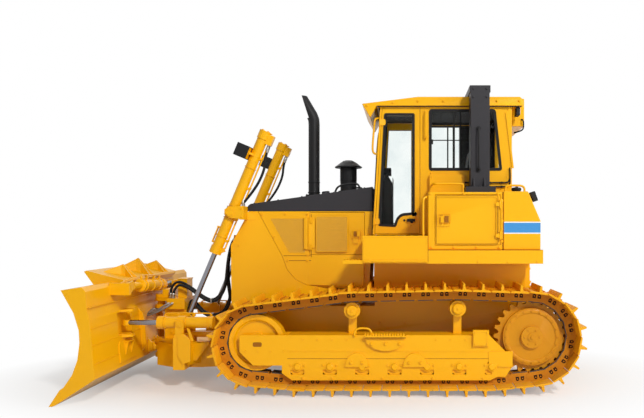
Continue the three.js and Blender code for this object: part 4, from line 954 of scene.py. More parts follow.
class BULLDOZER_OT_stage(bpy.types.Operator):
    """Pale floor, soft studio lamps, white surroundings and the camera"""
    bl_idname = "bulldozer.stage"
    bl_label = "Stage"

    def execute(self, context):
        scene = context.scene
        scene.view_settings.view_transform = "Standard"
        self.camera(scene)
        self.world(scene)
        self.floor(scene)
        look = scene.bulldozer_light
        low, high = CAD_BOX
        middle = (low + high) / 2
        self.lamp(scene, "sun_lamp", middle + Vector((-11.6, 22.1, 16.9)), middle, 3.2, look.key_power)
        self.lamp(scene, "fill_lamp", middle + Vector((-11.0, 5.0, 3.0)), middle, 6.0, look.fill_power)
        self.lamp(scene, "far_lamp", middle + Vector((2.0, -9.0, 7.0)), middle, 6.0, look.rim_power)
        return {"FINISHED"}

    def camera(self, scene):
        data = bpy.data.cameras.new("camera")
        data.lens = LENS
        data.sensor_width = 36
        data.shift_x, data.shift_y = SHIFT
        made = bpy.data.objects.new("camera", data)
        made.location = EYE
        made.rotation_euler = (math.pi / 2, 0, math.pi)
        scene.collection.objects.link(made)
        scene.camera = made

    def lamp(self, scene, name, place, target, size, power):
        data = bpy.data.lights.new(name, "AREA")
        data.shape = "DISK"
        data.size = size
        data.energy = power
        data.color = (1.0, 0.985, 0.95)
        made = bpy.data.objects.new(name, data)
        made.location = place
        made.rotation_euler = (target - place).to_track_quat("-Z", "Y").to_euler()
        scene.collection.objects.link(made)

    def white_to_eye(self, s):
        """1 where a ray comes straight from the camera, a mirror or a pane."""
        path = s.node("ShaderNodeLightPath")
        seen = s.maths("MAXIMUM", path.outputs["Is Camera Ray"], path.outputs["Is Glossy Ray"])
        return s.maths("MAXIMUM", seen, path.outputs["Is Transmission Ray"])

    def world(self, scene):
        world = bpy.data.worlds.new("surroundings")
        world.use_nodes = True
        scene.world = world
        s = Shader(world.node_tree)
        background = world.node_tree.nodes["Background"]
        soft = scene.bulldozer_light.sky
        s.link(s.span(self.white_to_eye(s), 0, 1, soft, 1.0), background.inputs["Strength"])
        background.inputs["Color"].default_value = (1, 1, 1, 1)

    def floor(self, scene):
        bm = bmesh.new()
        bmesh.ops.create_grid(bm, x_segments=1, y_segments=1, size=60)
        bmesh.ops.translate(bm, vec=(0, 0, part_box("blade")[0].z - 0.001), verts=bm.verts)
        mesh = bpy.data.meshes.new("floor")
        bm.to_mesh(mesh)
        bm.free()
        floor = bpy.data.objects.new("floor", mesh)
        scene.collection.objects.link(floor)
        made = bpy.data.materials.new("pale_floor")
        made.use_nodes = True
        s = Shader(made.node_tree)
        shader = made.node_tree.nodes["Principled BSDF"]
        shader.inputs["Base Color"].default_value = (0.86, 0.86, 0.86, 1)
        shader.inputs["Roughness"].default_value = 0.9
        glow = s.node("ShaderNodeEmission", Strength=1.0)
        reach = s.node("ShaderNodeVectorMath")
        reach.operation = "LENGTH"
        stretch = s.node("ShaderNodeMapping")
        stretch.inputs["Scale"].default_value = (0.8, 1.3, 1)
        s.link(s.coordinates(), stretch.inputs["Vector"])
        s.link(stretch.outputs[0], reach.inputs[0])
        away = s.span(reach.outputs["Value"], 2.0, 3.6)
        blend = s.node("ShaderNodeMixShader")
        s.link(s.maths("MULTIPLY", s.span(away, 0, 1, 0.25, 1.0), self.white_to_eye(s)),
               blend.inputs["Fac"])
        s.link(shader.outputs[0], blend.inputs[1])
        s.link(glow.outputs[0], blend.inputs[2])
        s.link(blend.outputs[0], made.node_tree.nodes["Material Output"].inputs["Surface"])
        mesh.materials.append(made)


# ------------------------------------------------------------------ front linkage


def lift_point(along, out, y):
    """A point by the lift cylinder: mm down its axis from the trunnion, forward of it, and its y."""
    dx, dz = LIFT_EYE[0] - LIFT_TOP[0], LIFT_EYE[1] - LIFT_TOP[1]
    length = math.hypot(dx, dz)
    ux, uz = dx / length, dz / length
    return (LIFT_TOP[0] + ux * along - uz * out, y, LIFT_TOP[1] + uz * along + ux * out)


class BULLDOZER_OT_cylinders(bpy.types.Operator):
    """Caps, pipes, ports, bands, lamps and pins of the hydraulic cylinders"""
    bl_idname = "bulldozer.cylinders"
    bl_label = "Cylinders"

    def execute(self, context):
        for name, side in SIDES:
            self.lift(name, side)
            self.angle(name, side)
        self.tilt()
        self.pins()
        return {"FINISHED"}

    def lift(self, name, side):
        bm = bmesh.new()
        y = side * LIFT_Y
        for along in (-1015, -925, -560, -80, 80, 300, 434):
            add_turned(bm, [(60, -7), (70, -5), (70, 5), (60, 7)], lift_point(along, 0, y),
                       lift_point(along + 50, 0, y), 36, closed=True)
        add_rod(bm, lift_point(-1022, 0, y), lift_point(-1015, 0, y), 60, 32)
        for out, v in ring_spots((0, y), 46, 4, math.pi / 4):
            spot = Vector(lift_point(-1022, out, v))
            add_bolt(bm, spot, Vector(lift_point(-1100, out, v)) - spot, 9, 8)
        for out, v in ring_spots((0, y), 55, 8):
            spot = Vector(lift_point(514, out, v))
            add_bolt(bm, spot, Vector(lift_point(600, out, v)) - spot, 7, 5, False)
        # steel pipe down the rear of the barrel, from the top block to the lower port
        pipe = [lift_point(-890, -88, y), lift_point(-700, -88, y), lift_point(300, -88, y),
                lift_point(420, -86, y), lift_point(452, -66, y)]
        bent_rod(bm, pipe, 10, steps=6)
        for along in (-700, -330, 60, 330):
            turned = Vector(lift_point(along, -76, y))
            turned_box(bm, turned, (52, 34, 22), (0, 22.7, 0))
            add_bolt(bm, Vector(lift_point(along, -93, y)), Vector(lift_point(along, -300, y)) - turned, 6, 6)
        turned_box(bm, lift_point(454, -70, y), (46, 54, 46), (0, 22.7, 0))
        # port block at the top
        for dy in (-26, 26):
            spot = Vector(lift_point(-1010, -70, y + dy))
            add_bolt(bm, spot, Vector(lift_point(-1100, -70, y + dy)) - spot, 8, 8)
        # small plate guard on the front of the barrel
        add_rod(bm, lift_point(215, 58, y), lift_point(215, 92, y), 12, 14)
        add_rod(bm, lift_point(395, 58, y), lift_point(395, 86, y), 12, 14)
        turned_box(bm, lift_point(300, 80, y), (10, 46, 190), (0, -22.7, 0))
        new_piece(f"lift_barrel_fittings_{name}", bm, f"lift_cylinder_barrel_{name}", "paint", bevel=1.2)
        # bright fitting where the hose starts, and the lamp's own parts
        bm = bmesh.new()
        a, b = Vector(lift_point(-880, -100, y)), Vector(lift_point(-836, -104, y))
        add_rod(bm, a, b, 20, 6)
        add_rod(bm, b, b + (b - a) * 0.9, 17.5, 20)
        new_piece(f"lift_hose_fitting_{name}", bm, f"lift_cylinder_barrel_{name}", "steel", bevel=1)
        bm = bmesh.new()
        lamp_y = y + side * 97
        turned_box(bm, lift_point(-705, 187, lamp_y), (12, 126, 126), (0, -22.7, 0))
        new_piece(f"work_lamp_lens_{name}", bm, f"lift_cylinder_barrel_{name}", "lens", bevel=3)
        bm = bmesh.new()
        for along, size in ((-777, (150, 154, 6)), (-633, (150, 154, 6))):
            turned_box(bm, lift_point(along, 132, lamp_y), size, (0, -22.7, 0))
        for edge in (-77, 77):
            turned_box(bm, lift_point(-705, 132, lamp_y + edge), (150, 6, 150), (0, -22.7, 0))
        new_piece(f"work_lamp_hood_{name}", bm, f"lift_cylinder_barrel_{name}", "black", bevel=3)

    def angle(self, name, side):
        bm = bmesh.new()
        x, y, z = ANGLE_TOP[0], side * ANGLE_TOP[1], ANGLE_TOP[2]
        for dy in (-1, 1):
            add_rod(bm, (x, y + dy * 109, z), (x, y + dy * 121, z), 40, 28)
            add_rod(bm, (x, y + dy * 121, z), (x, y + dy * 127, z), 22, 20)
            side_bolts(bm, (x, y + dy * 121, z), dy, 31, 4, 5, 4, math.pi / 4, False)
        new_piece(f"angle_yoke_caps_{name}", bm, f"angle_yoke_{name}", "paint", bevel=1)
        bm = bmesh.new()
        for dx in (-352, -300, 190, 262):
            add_turned(bm, [(64, -6), (73, -4), (73, 4), (64, 6)], (x + dx, y, z), (x + dx + 50, y, z), 36,
                       closed=True)
        port = y - side * 60
        for dx in (-310, 215):
            turned_box(bm, (x + dx, port, z + 44), (46, 40, 40))
            add_rod(bm, (x + dx, port, z + 60), (x + dx, port, z + 88), 15, 6)
        pipe = [(x + dx, port, z + rise) for dx, rise in
                ((-310, 84), (-290, 96), (-200, 98), (120, 98), (200, 96), (215, 84))]
        bent_rod(bm, pipe, 8, 10)
        for dx in (-120, 60):
            turned_box(bm, (x + dx, port, z + 84), (22, 28, 36))
        new_piece(f"angle_barrel_pipes_{name}", bm, f"angle_cylinder_barrel_{name}", "paint", bevel=1)

    def tilt(self):
        bm = bmesh.new()
        start, end = Vector(TILT_EYE), Vector(TILT_YOKE)
        line = (end - start).normalized()
        for along in (325, 420, 640, 860, 1000, 1052):
            spot = start + line * along
            add_turned(bm, [(60, -9), (74, -6), (74, 6), (60, 9)], spot, spot + line * 60, 36, closed=True)
        for along in (360, 960):
            spot = start + line * along + Vector((0, 0, 66))
            turned_box(bm, spot, (52, 60, 34), (-3.3, 0, 0))
            add_rod(bm, spot + Vector((0, 0, 14)), spot + Vector((0, 0, 46)), 15, 6)
        pipe = [start + line * a + Vector((0, 0, h)) for a, h in
                ((360, 106), (380, 116), (480, 118), (840, 118), (940, 116), (960, 106))]
        bent_rod(bm, pipe, 8, 10)
        for along in (540, 780):
            turned_box(bm, start + line * along + Vector((0, 0, 90)), (30, 26, 62), (-3.3, 0, 0))
        new_piece("tilt_barrel_fittings", bm, "tilt_cylinder_barrel", "paint", bevel=1)

    def pins(self):
        bm = bmesh.new()
        for _, side in SIDES:
            x, z, y = LIFT_EYE[0], LIFT_EYE[1], side * LIFT_Y
            # only the inner end has a cap: the angle cylinder's yoke swings past the outer one
            add_rod(bm, (x, y - side * 63, z), (x, y - side * 72, z), 46, 28)
            add_bolt(bm, (x, y - side * 72, z), (0, -side, 0), 13, 9)
        new_piece("lift_eye_pins", bm, "c_frame", "paint", bevel=1.5)
        bm = bmesh.new()
        for _, side in SIDES:
            x, y, z = ANGLE_EYE[0], side * ANGLE_EYE[1], ANGLE_EYE[2]
            add_rod(bm, (x, y, z + 122), (x, y, z + 144), 34, 28)
            add_bolt(bm, (x, y, z + 144), (0, 0, 1), 11, 8)
            add_rod(bm, (x, y, z - 144), (x, y, z - 122), 34, 28)
            for edge in (-1, 1):
                low, high = sorted((z + edge * 122, z + edge * 137))
                level_plate(bm, [(x + 70, y - 108), (x + 70, y + 108), (x - 14, y + 78), (x - 38, y + 44),
                                 (x - 44, y), (x - 38, y - 44), (x - 14, y - 78)], (low, high))
        new_piece("angle_clevis_plates", bm, "blade", "paint", bevel=2.5)
        bm = bmesh.new()
        for _, side in SIDES:
            x, y, z = LIFT_TOP[0], side * LIFT_Y, LIFT_TOP[1]
            for dy in (-1, 1):
                add_rod(bm, (x, y + dy * 104, z), (x, y + dy * 114, z), 48, 28)
                side_bolts(bm, (x, y + dy * 114, z), dy, 34, 4, 6, 5, math.pi / 4, False)
            # strap bolts of the yoke block
            for z in (1950, 2045):
                add_bolt(bm, (1880, side * 704, z), (0, side, 0), 10, 8)
        new_piece("trunnion_caps", bm, "chassis", "paint", bevel=1.2)


class BULLDOZER_OT_linkage(bpy.types.Operator):
    """Plates, gussets, straps and seals of the C-frame"""
    bl_idname = "bulldozer.linkage"
    bl_label = "C-frame"

    def execute(self, context):
        bm = bmesh.new()
        for _, side in SIDES:
            # outer cheek of the outrigger and the keeper strap beside the yoke
            side_plate(bm, [(2545, 398), (2545, 600), (2500, 650), (2430, 600), (2400, 560), (2400, 330),
                            (2490, 298)], (905, 922), side)
            side_plate(bm, [(2418, 690), (2448, 700), (2402, 560), (2370, 560)], (885, 903), side)
            # rail bar, its bracket and the triangle below
            add_box(bm, (2180, 2475), (side * 640, side * 700), (592, 632))
            side_plate(bm, [(2475, 512), (2247, 512), (2247, 496), (2395, 300), (2475, 300)],
                       (690, 706), side)
            add_box(bm, (2247, 2475), (side * 606, side * 706), (500, 512))
            face_bolts(bm, side, 700, [(x, 612) for x in (2230, 2300)], 9, 7)
            # stiffening pads and weld plates on the arms
            add_box(bm, (1300, 2150), (side * 605, side * 613), (330, 470))
            face_bolts(bm, side, 613, [(x, z) for x in (1340, 2110) for z in (350, 450)], 9, 7)
            # pivot cap
            add_rod(bm, (700, side * 605, 430), (700, side * 622, 430), 92, 36)
            side_bolts(bm, (700, side * 622, 430), side, 70, 6, 10, 8)
            # grease fittings
            add_rod(bm, (2590, side * 560, 476), (2590, side * 560, 496), 9, 10)
        # tower: seams, cover plate and the rim round its top
        add_box(bm, (2700, 2880), (150, 156), (520, 820))
        add_box(bm, (2700, 2880), (-156, -150), (520, 820))
        for y in (156, -156):
            for x in (2722, 2858):
                for z in (545, 670, 795):
                    add_bolt(bm, (x, y, z), (0, y, 0), 8, 6)
        add_box(bm, (2680, 2850), (-170, 170), (956, 966))
        add_box(bm, (2682, 2806), (-116, 116), (1189, 1202))
        add_turned(bm, [(46, -2), (72, -2), (72, 8), (64, 14), (46, 14)], (3040, 0, 924), (3040, 0, 1000),
                   36, closed=True)
        for x in (2710, 2820):
            for y in (-145, 145):
                add_bolt(bm, (x, y, 966), (0, 0, 1), 9, 7)
        # underside wear strips
        for y in (-300, 300):
            add_box(bm, (2360, 2860), (y - 30, y + 30), (195, 206))
        new_piece("linkage_plates", bm, "c_frame", "paint", bevel=2)
        return {"FINISHED"}


class BULLDOZER_OT_blade_details(bpy.types.Operator):
    """Folded top guards, cutting edge and end bits with their bolts, ribs and seams of the blade"""
    bl_idname = "bulldozer.blade_details"
    bl_label = "Blade details"

    def execute(self, context):
        bm = bmesh.new()
        # folded guards along the top: two leaves that meet in an upright crease
        for y, x, top, front in ((0, 3333, 1452, 3570), (546, 3303, 1400, 3495), (-546, 3303, 1400, 3495)):
            low = 1236
            leaves = (((x, y, top), (front, y + 150, 1312), (front - 40, y + 150, 1290), (x, y, low)),
                      ((x, y, top), (x, y, low), (3172, y + 70, 1222), (3165, y + 70, 1240)))
            for corners in leaves:
                add_plate(bm, corners, (0, -14, 0))
            add_plate(bm, [(x, y - 10, top), (x, y - 10, low), (3172, y - 80, 1222), (3165, y - 80, 1240)],
                      (0, -12, 0))
        # rounded ends, lifting eye patch and edge strips
        for side in (-1, 1):
            add_rod(bm, (3311, side * 1640, 1143), (3311, side * 1649.5, 1143), 35, 32)
            add_rod(bm, (3311, side * 1640, 1143), (3311, side * 1649.5, 1143), 16, 20)
        # ribs on the back
        for y in (-330, 330):
            side_plate(bm, [(3165, 330), (3206, 870), (3150, 800), (3120, 620), (3112, 420)], (y - 9, y + 9))
        whole = ((-1640, 1640),)
        beside_pockets = ((-1640, -1010), (-560, 560), (1010, 1640))
        for z, spans in ((430, whole), (620, beside_pockets), (790, beside_pockets), (1010, whole)):
            x = 3148 + (z - 280) * 0.091
            for span in spans:
                add_box(bm, (x - 6, x + 12), span, (z - 5, z + 5))
        for side in (-1, 1):
            frame_plate = [(3148 + (z - 280) * 0.091, side * y, z) for y, z in
                           ((560, 330), (1010, 330), (1010, 520), (970, 560), (600, 560), (560, 520))]
            add_plate(bm, frame_plate, (-13, 0, 0))
            for y in (700, 860):
                side_plate(bm, [(3175, 548), (3165, 400), (3140, 400), (3110, 548)],
                           (side * y - 8, side * y + 8))
            add_box(bm, (3105, 3180), (side * 780 - 95, side * 780 + 95), (540, 550))
        # push block above the ball
        for y in (-150, 150):
            side_plate(bm, [(3150, 300), (3150, 470), (3100, 420), (3090, 330)], (y - 14, y + 14))
        new_piece("blade_guards", bm, "blade", "blade_face", bevel=1.5)
        bm = bmesh.new()
        direction = Vector((113, 0, -171)).normalized()
        normal = Vector((171, 0, 113)).normalized()
        top = Vector((3505, 0, 174))
        foot = top + direction * 190
        for low, high in ((-1645, -1250), (-1246, -2), (2, 1246), (1250, 1645)):
            corners = [(top.x, low, top.z), (top.x, high, top.z), (foot.x, high, foot.z),
                       (foot.x, low, foot.z)]
            add_plate(bm, corners, normal * 0.1 - normal * 26)
        for y in (-1600, -1500, -1400, -1300, *range(-1200, 1201, 150), 1300, 1400, 1500, 1600):
            if y == 0:
                continue
            spot = top + direction * 70 + Vector((0, y, 0)) + normal * 0.4
            add_rod(bm, spot, spot + normal * 2.4, 17, 20, 13)
        new_piece("cutting_edges", bm, "blade", "edge", bevel=1.5)
        return {"FINISHED"}


# ------------------------------------------------------------------ hood and engine bay
def hood_top(x):
    """Height of the hood's sloping top at x, in mm."""
    return 2104 + (1851 - x) / (1851 - 360) * (2313 - 2104)


def rounded(outline, radius, steps=4):
    """An outline of (u, v) pairs with its corners rounded."""
    made = []
    count = len(outline)
    for i in range(count):
        before, here, after = (Vector(outline[(i + k) % count]) for k in (-1, 0, 1))
        a = here + (before - here).normalized() * radius
        b = here + (after - here).normalized() * radius
        for k in range(steps + 1):
            t = k / steps
            p = a * (1 - t) ** 2 + here * 2 * t * (1 - t) + b * t ** 2
            made.append((p.x, p.y))
    return made


def framed(bm, outline, y, side, width, radius):
    """A ring of flat trim along an outline of (x, z) pairs on a side face, y a (low, high) pair."""
    outer = rounded(outline, radius)
    outer = [Vector(p) for p in outer]
    count = len(outer)
    area = sum(outer[i - 1].cross(outer[i]) for i in range(count))
    inner = []
    for i, p in enumerate(outer):
        tangent = (outer[(i + 1) % count] - outer[i - 1]).normalized()
        inward = Vector((-tangent.y, tangent.x)) * math.copysign(1, area)
        inner.append(p + inward * width)
    low, high = sorted((side * y[0], side * y[1]))
    loops = []
    for ring in (outer, inner):
        loops.append([bm.verts.new(at(p.x, low, p.y)) for p in ring])
    edges = [[bm.edges.new((loop[i], loop[(i + 1) % count])) for i in range(count)] for loop in loops]
    made = bmesh.ops.bridge_loops(bm, edges=edges[0] + edges[1])
    pushed = bmesh.ops.extrude_face_region(bm, geom=made["faces"], use_keep_orig=True)
    verts = [v for v in pushed["geom"] if isinstance(v, bmesh.types.BMVert)]
    bmesh.ops.translate(bm, vec=(0, (high - low) * MM, 0), verts=verts)


class BULLDOZER_OT_hood_details(bpy.types.Operator):
    """Perforated screens, seams, bolts, latches, handles and flared lower sides of the hood"""
    bl_idname = "bulldozer.hood_details"
    bl_label = "Hood details"

    def execute(self, context):
        for name, side in SIDES:
            fixed, door, dark, latch, mesh_fixed, mesh_door = (bmesh.new() for _ in range(6))
            face = 500
            screen = [(1591, 1935), (1190, 1935), (1177, 1533), (1375, 1533)]
            framed(fixed, [(1600, 1943), (1182, 1943), (1168, 1525), (1370, 1525)], (face - 1, face + 3),
                   side, 9, 24)
            side_plate(mesh_fixed, rounded(screen, 18), (face - 1, face + 1.4), side)
            spots = ((1683, 1981), (1414, 1990), (1153, 1990), (1153, 1941), (1548, 1718), (1144, 1724),
                   (1148, 1507), (1388, 1441), (1151, 1441), (985, 1398), (990, 1182))
            face_bolts(fixed, side, face, spots, 12, 13)
            # folded ledge and flared lower side
            corners = [(1101, 500, 1494), (482, 500, 1505), (482, 500, 1122), (1160, 500, 1158),
                       (482, 630, 1216), (482, 630, 1140), (1120, 506, 1190)]
            made = [fixed.verts.new(at(x, side * y, z)) for x, y, z in corners]
            bmesh.ops.convex_hull(fixed, input=made)
            for start, end in (((1104, 1986), (1104, 1480)), ((1432, 1497), (1110, 1497)),
                               ((1372, 1440), (1100, 1440))):
                a, b = Vector(start), Vector(end)
                turn = math.degrees(math.atan2(b.y - a.y, b.x - a.x))
                middle = (a + b) / 2
                turned_box(dark, (middle.x, side * (face + 0.6), middle.y), ((b - a).length, 1.4, 7),
                           (0, -turn, 0))
            # engine door: screen, latch plate and folded rear edge
            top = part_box(f"engine_door_{name}")[1 if side > 0 else 0].y / MM * side
            framed(door, [(1048, 1965), (672, 1965), (672, 1542), (1048, 1542)], (top - 1, top + 3),
                   side, 9, 26)
            side_plate(mesh_door, rounded([(1041, 1957), (680, 1957), (680, 1550), (1041, 1550)], 22),
                       (top - 1, top + 1.4), side)
            framed(door, [(628, 1800), (508, 1800), (508, 1710), (628, 1710)], (top - 1, top + 3),
                   side, 6, 10)
            turned_box(door, (545, side * (top + 7), 1755), (34, 14, 62))
            turned_box(latch, (586, side * (top + 1), 1755), (30, 2, 60))
            for z in (1600, 1915):
                for x in (1100, 1116):
                    add_rod(fixed, (x, side * (top - 4), z - 34), (x, side * (top - 4), z + 34), 9, 14)
            new_piece(f"hood_side_trim_{name}", fixed, "chassis", "paint", bevel=1)
            new_piece(f"hood_screen_{name}", mesh_fixed, "chassis", "screen")
            new_piece(f"engine_door_trim_{name}", door, f"engine_door_{name}", "paint", bevel=1)
            new_piece(f"engine_door_screen_{name}", mesh_door, f"engine_door_{name}", "screen")
            new_piece(f"hood_seams_{name}", dark, "chassis", "seam")
            new_piece(f"engine_door_seams_{name}", latch, f"engine_door_{name}", "seam")
        self.top()
        self.grille()
        self.stack()
        return {"FINISHED"}

    def top(self):
        bm = bmesh.new()
        for side in (-1, 1):
            y = side * 400
            loop = [(837, y, hood_top(837) - 4), (812, y, hood_top(812) + 48), (772, y, hood_top(772) + 72),
                    (700, y, hood_top(700) + 78), (610, y, hood_top(610) + 74), (562, y, hood_top(562) + 56),
                    (532, y, hood_top(532) - 4)]
            bent_rod(bm, loop, 12, steps=6)
            for x in (837, 532):
                add_rod(bm, (x, y, hood_top(x) - 2), (x, y, hood_top(x) + 6), 24, 20)
        new_piece("hood_grab_handles", bm, "chassis", "black")
        bm = bmesh.new()
        slope = math.degrees(math.atan2(2313 - 2104, 1851 - 360))
        for side in (-1, 1):
            for x in (1780, 1500, 1220, 940, 480):
                add_bolt(bm, (x, side * 475, hood_top(x)), (0.14, 0, 1), 9, 6)
        for x in (1690, 1620, 1550, 1480):
            turned_box(bm, (x, 0, hood_top(x) + 1), (18, 420, 5), (0, slope, 0))
        turned_box(bm, (470, 0, hood_top(470) + 6), (120, 360, 14), (0, slope, 0))
        add_turned(bm, [(0, 44), (40, 44), (48, 36), (48, 0), (0, 0)], (960, 250, hood_top(960) - 3),
                   (966, 250, hood_top(960) + 60), 32)
        new_piece("hood_top_trim", bm, "chassis", "charcoal", bevel=1.5)

    def grille(self):
        bm = bmesh.new()
        slope = (1968 - 1800) / (1939.7 - 1038.3)
        for i in range(17):
            z = 1065 + i * 52
            x = 1800 + (1939.7 - z) * slope + 34
            turned_box(bm, (x, 0, z), (26, 772, 7), (0, 26, 0))
        for y in (-386, -193, 0, 193, 386):
            low, high = 1045, 1933
            length = math.hypot(high - low, (high - low) * slope)
            turned_box(bm, (1800 + (1939.7 - (low + high) / 2) * slope + 36, y, (low + high) / 2),
                       (30, 9 if abs(y) < 386 else 6, length), (0, -math.degrees(math.atan(slope)), 0))
        new_piece("grille_louvres", bm, "chassis", "charcoal", bevel=1)
        bm = bmesh.new()
        for y in (160, 202, 80, 120):
            z = 1690 if y in (160, 80) else 1676
            add_rod(bm, (2039, y, z), (2062, y, z), 22, 6)
            add_rod(bm, (2062, y, z), (2084, y, z), 18.5, 20)
        for y in (-360, 360):
            for z in (1660, 1720):
                add_bolt(bm, (2040, y, z), (1, 0, 0), 10, 8)
        for y in (-445, 445):
            for z in (960, 1200, 1440):
                add_bolt(bm, (2046 + (z - 908) / 712 * 6, y, z), (1, 0, 0), 11, 8)
        new_piece("guard_front_fittings", bm, "chassis", "steel", bevel=1)
        bm = bmesh.new()
        for side in (-1, 1):
            # the stud by the guard's top
            add_rod(bm, (1958, side * 500, 1620), (1958, side * 516, 1620), 8, 12)
        new_piece("guard_side_fittings", bm, "chassis", "paint", bevel=1.2)

    def stack(self):
        bm = bmesh.new()
        x = 1136
        low = hood_top(x)
        for z, r in ((low + 62, 77), (low + 190, 74)):
            add_turned(bm, [(68, -9), (r, -7), (r, 7), (68, 9)], (x, 0, z), (x, 0, z + 90), 40, closed=True)
        for u, v in ring_spots((x, 0), 90, 6):
            add_bolt(bm, (u, v, low + 36), (0, 0, 1), 8, 7)
        new_piece("stack_bands", bm, "chassis", "black", bevel=0.8)
        bm = bmesh.new()
        x = 707
        for i in range(20):
            a = 2 * math.pi * i / 20
            spot = Vector((x + 100 * math.cos(a), 100 * math.sin(a), 2495))
            turned_box(bm, spot, (8, 5, 140), (0, 0, math.degrees(a)))
        for z in (2400, 2420, 2566):
            add_turned(bm, [(100, -5), (106, -4), (106, 4), (100, 5)], (x, 0, z), (x, 0, z + 90), 48,
                       closed=True)
        add_turned(bm, [(160, -6), (168, -6), (170, 0), (168, 5), (160, 7)], (x, 0, 2582), (x, 0, 2680), 56,
                   closed=True)
        add_turned(bm, [(0, 14), (40, 12), (60, 5), (62, 0), (0, 0)], (x, 0, 2656), (x, 0, 2750), 40)
        for u, v in ring_spots((x, 0), 80, 4, math.pi / 4):
            add_bolt(bm, (u, v, 2648), (0.005 * (u - x), 0.005 * v, 1), 7, 6)
        new_piece("precleaner_louvres", bm, "chassis", "black", bevel=0.8)


# ------------------------------------------------------------------ hoses
UPPER_HOSES = (
    ((2875, 150, 968), (2875, 150, 1020), (2864, 150, 1090), (2822, 150, 1148), (2756, 152, 1162),
     (2659, 155, 1118), (2550, 158, 1043), (2452, 160, 976), (2364, 160, 947), (2288, 160, 989),
     (2228, 160, 1075), (2199, 160, 1185), (2184, 160, 1327), (2168, 160, 1458), (2142, 160, 1580),
     (2112, 160, 1662), (2080, 160, 1690), (2041, 160, 1690)),
    ((2828, 195, 968), (2828, 195, 1010), (2812, 195, 1072), (2768, 195, 1122), (2715, 196, 1122),
     (2640, 198, 1088), (2545, 200, 1022), (2450, 202, 958), (2362, 202, 929), (2280, 202, 962),
     (2212, 202, 1060), (2180, 202, 1185), (2166, 202, 1327), (2152, 202, 1458), (2130, 202, 1575),
     (2105, 202, 1650), (2078, 202, 1676), (2041, 202, 1676)),
)
LOWER_HOSES = (
    ((2664, 80, 703), (2664, 80, 760), (2668, 80, 850), (2650, 80, 916), (2606, 80, 926),
     (2558, 80, 872), (2478, 80, 792), (2377, 80, 757), (2268, 80, 784), (2206, 80, 869),
     (2172, 80, 968), (2184, 80, 1079), (2203, 80, 1203), (2199, 80, 1364), (2176, 80, 1500),
     (2140, 80, 1618), (2105, 80, 1676), (2078, 80, 1690), (2041, 80, 1690)),
    ((2664, 120, 703), (2664, 120, 750), (2664, 120, 826), (2642, 120, 888), (2598, 120, 892),
     (2548, 120, 842), (2470, 120, 768), (2374, 120, 735), (2258, 120, 762), (2186, 120, 850),
     (2150, 120, 968), (2158, 120, 1079), (2172, 120, 1203), (2172, 120, 1364), (2156, 120, 1500),
     (2128, 120, 1610), (2100, 120, 1662), (2076, 120, 1676), (2041, 120, 1676)),
)
PILOT_HOSES = (
    ((2880, 214, 905), (2880, 236, 905), (2920, 262, 882), (2985, 270, 838), (3060, 262, 802),
     (3108, 225, 786), (3128, 170, 790), (3118, 122, 806), (3092, 90, 818), (3072, 56, 818)),
    ((2835, 214, 905), (2835, 240, 905), (2880, 285, 872), (2960, 300, 826), (3050, 292, 786),
     (3115, 250, 764), (3150, 180, 764), (3156, 110, 788), (3140, 37, 818), (3100, 22, 818)),
)
LIFT_HOSE = ((1584, 2776), (1602, 2733), (1622, 2640), (1634, 2540), (1664, 2440), (1718, 2330),
             (1790, 2225), (1850, 2150), (1880, 2110), (1880, 2077))


class BULLDOZER_OT_hoses(bpy.types.Operator):
    """Hydraulic hoses with crimped ends, clamps and sleeves"""
    bl_idname = "bulldozer.hoses"
    bl_label = "Hoses"

    def execute(self, context):
        sizes = context.scene.bulldozer_sizes
        hose, pilot = sizes.hose_radius / MM, sizes.pilot_radius / MM
        self.bundle("blade_hoses_upper", UPPER_HOSES, hose, ("c_frame", "chassis"),
                    ((2354, 2372), (140, 222), (910, 966)))
        self.bundle("blade_hoses_lower", LOWER_HOSES, hose, ("c_frame", "chassis"),
                    ((2366, 2384), (60, 140), (716, 776)))
        self.bundle("pilot_hoses", PILOT_HOSES, pilot, ("c_frame", "blade_carrier"), None,
                    "grey_hose", "hose_braid")
        for name, side in SIDES:
            route = tuple((x, side * 600, z) for x, z in LIFT_HOSE)
            self.bundle(f"lift_hose_{name}", (route,), hose,
                        (f"lift_cylinder_barrel_{name}", "chassis"), None)
        return {"FINISHED"}

    def bundle(self, node, routes, radius, bodies, clamp, key="rubber", slot="hose_rubber"):
        bm, ends = bmesh.new(), bmesh.new()
        for route in routes:
            path = smooth_route(route, 5)
            add_tube(bm, path, radius, 16)
            for tip, inner in ((path[0], path[3]), (path[-1], path[-4])):
                along = (Vector(inner) - Vector(tip)).normalized()
                tip = Vector(tip)
                add_rod(ends, tip, tip + along * radius * 1.3, radius * 1.42, 6)
                ferrule = [(0, 0), (radius * 1.18, 0), (radius * 1.18, 3), (radius * 1.3, 6),
                           (radius * 1.3, radius * 2.2), (radius * 1.12, radius * 2.6), (0, radius * 2.6)]
                add_turned(ends, ferrule, tip + along * radius * 1.3, tip + along * radius * 5, 20)
        if clamp:
            add_box(ends, *clamp)
            x, y, z = clamp
            for spot in (y[0] + 7, y[1] - 7):
                add_bolt(ends, (x[1], spot, z[1] - 7), (1, 0, 0), 6, 5)
        start, end = at(*routes[0][0]), at(*routes[0][-1])
        pieces = (new_piece(f"{node}_tubes", bm, None, key, replaces=(node,)),
                  new_piece(f"{node}_fittings", ends, None, "steel", bevel=0.8))
        for piece in pieces:
            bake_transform(piece, *bodies, start=tuple(start), end=tuple(end))


# ------------------------------------------------------------------ seat and cab
PAD_GRID, QUICK_PAD_GRID = 0.0075, 0.012     # m, mesh size of the pads
CHANNEL_DEPTH, CHANNEL_HALF = 0.004, 0.007   # m, sewn channels across the pads
PRESSED_FRAMES = 20


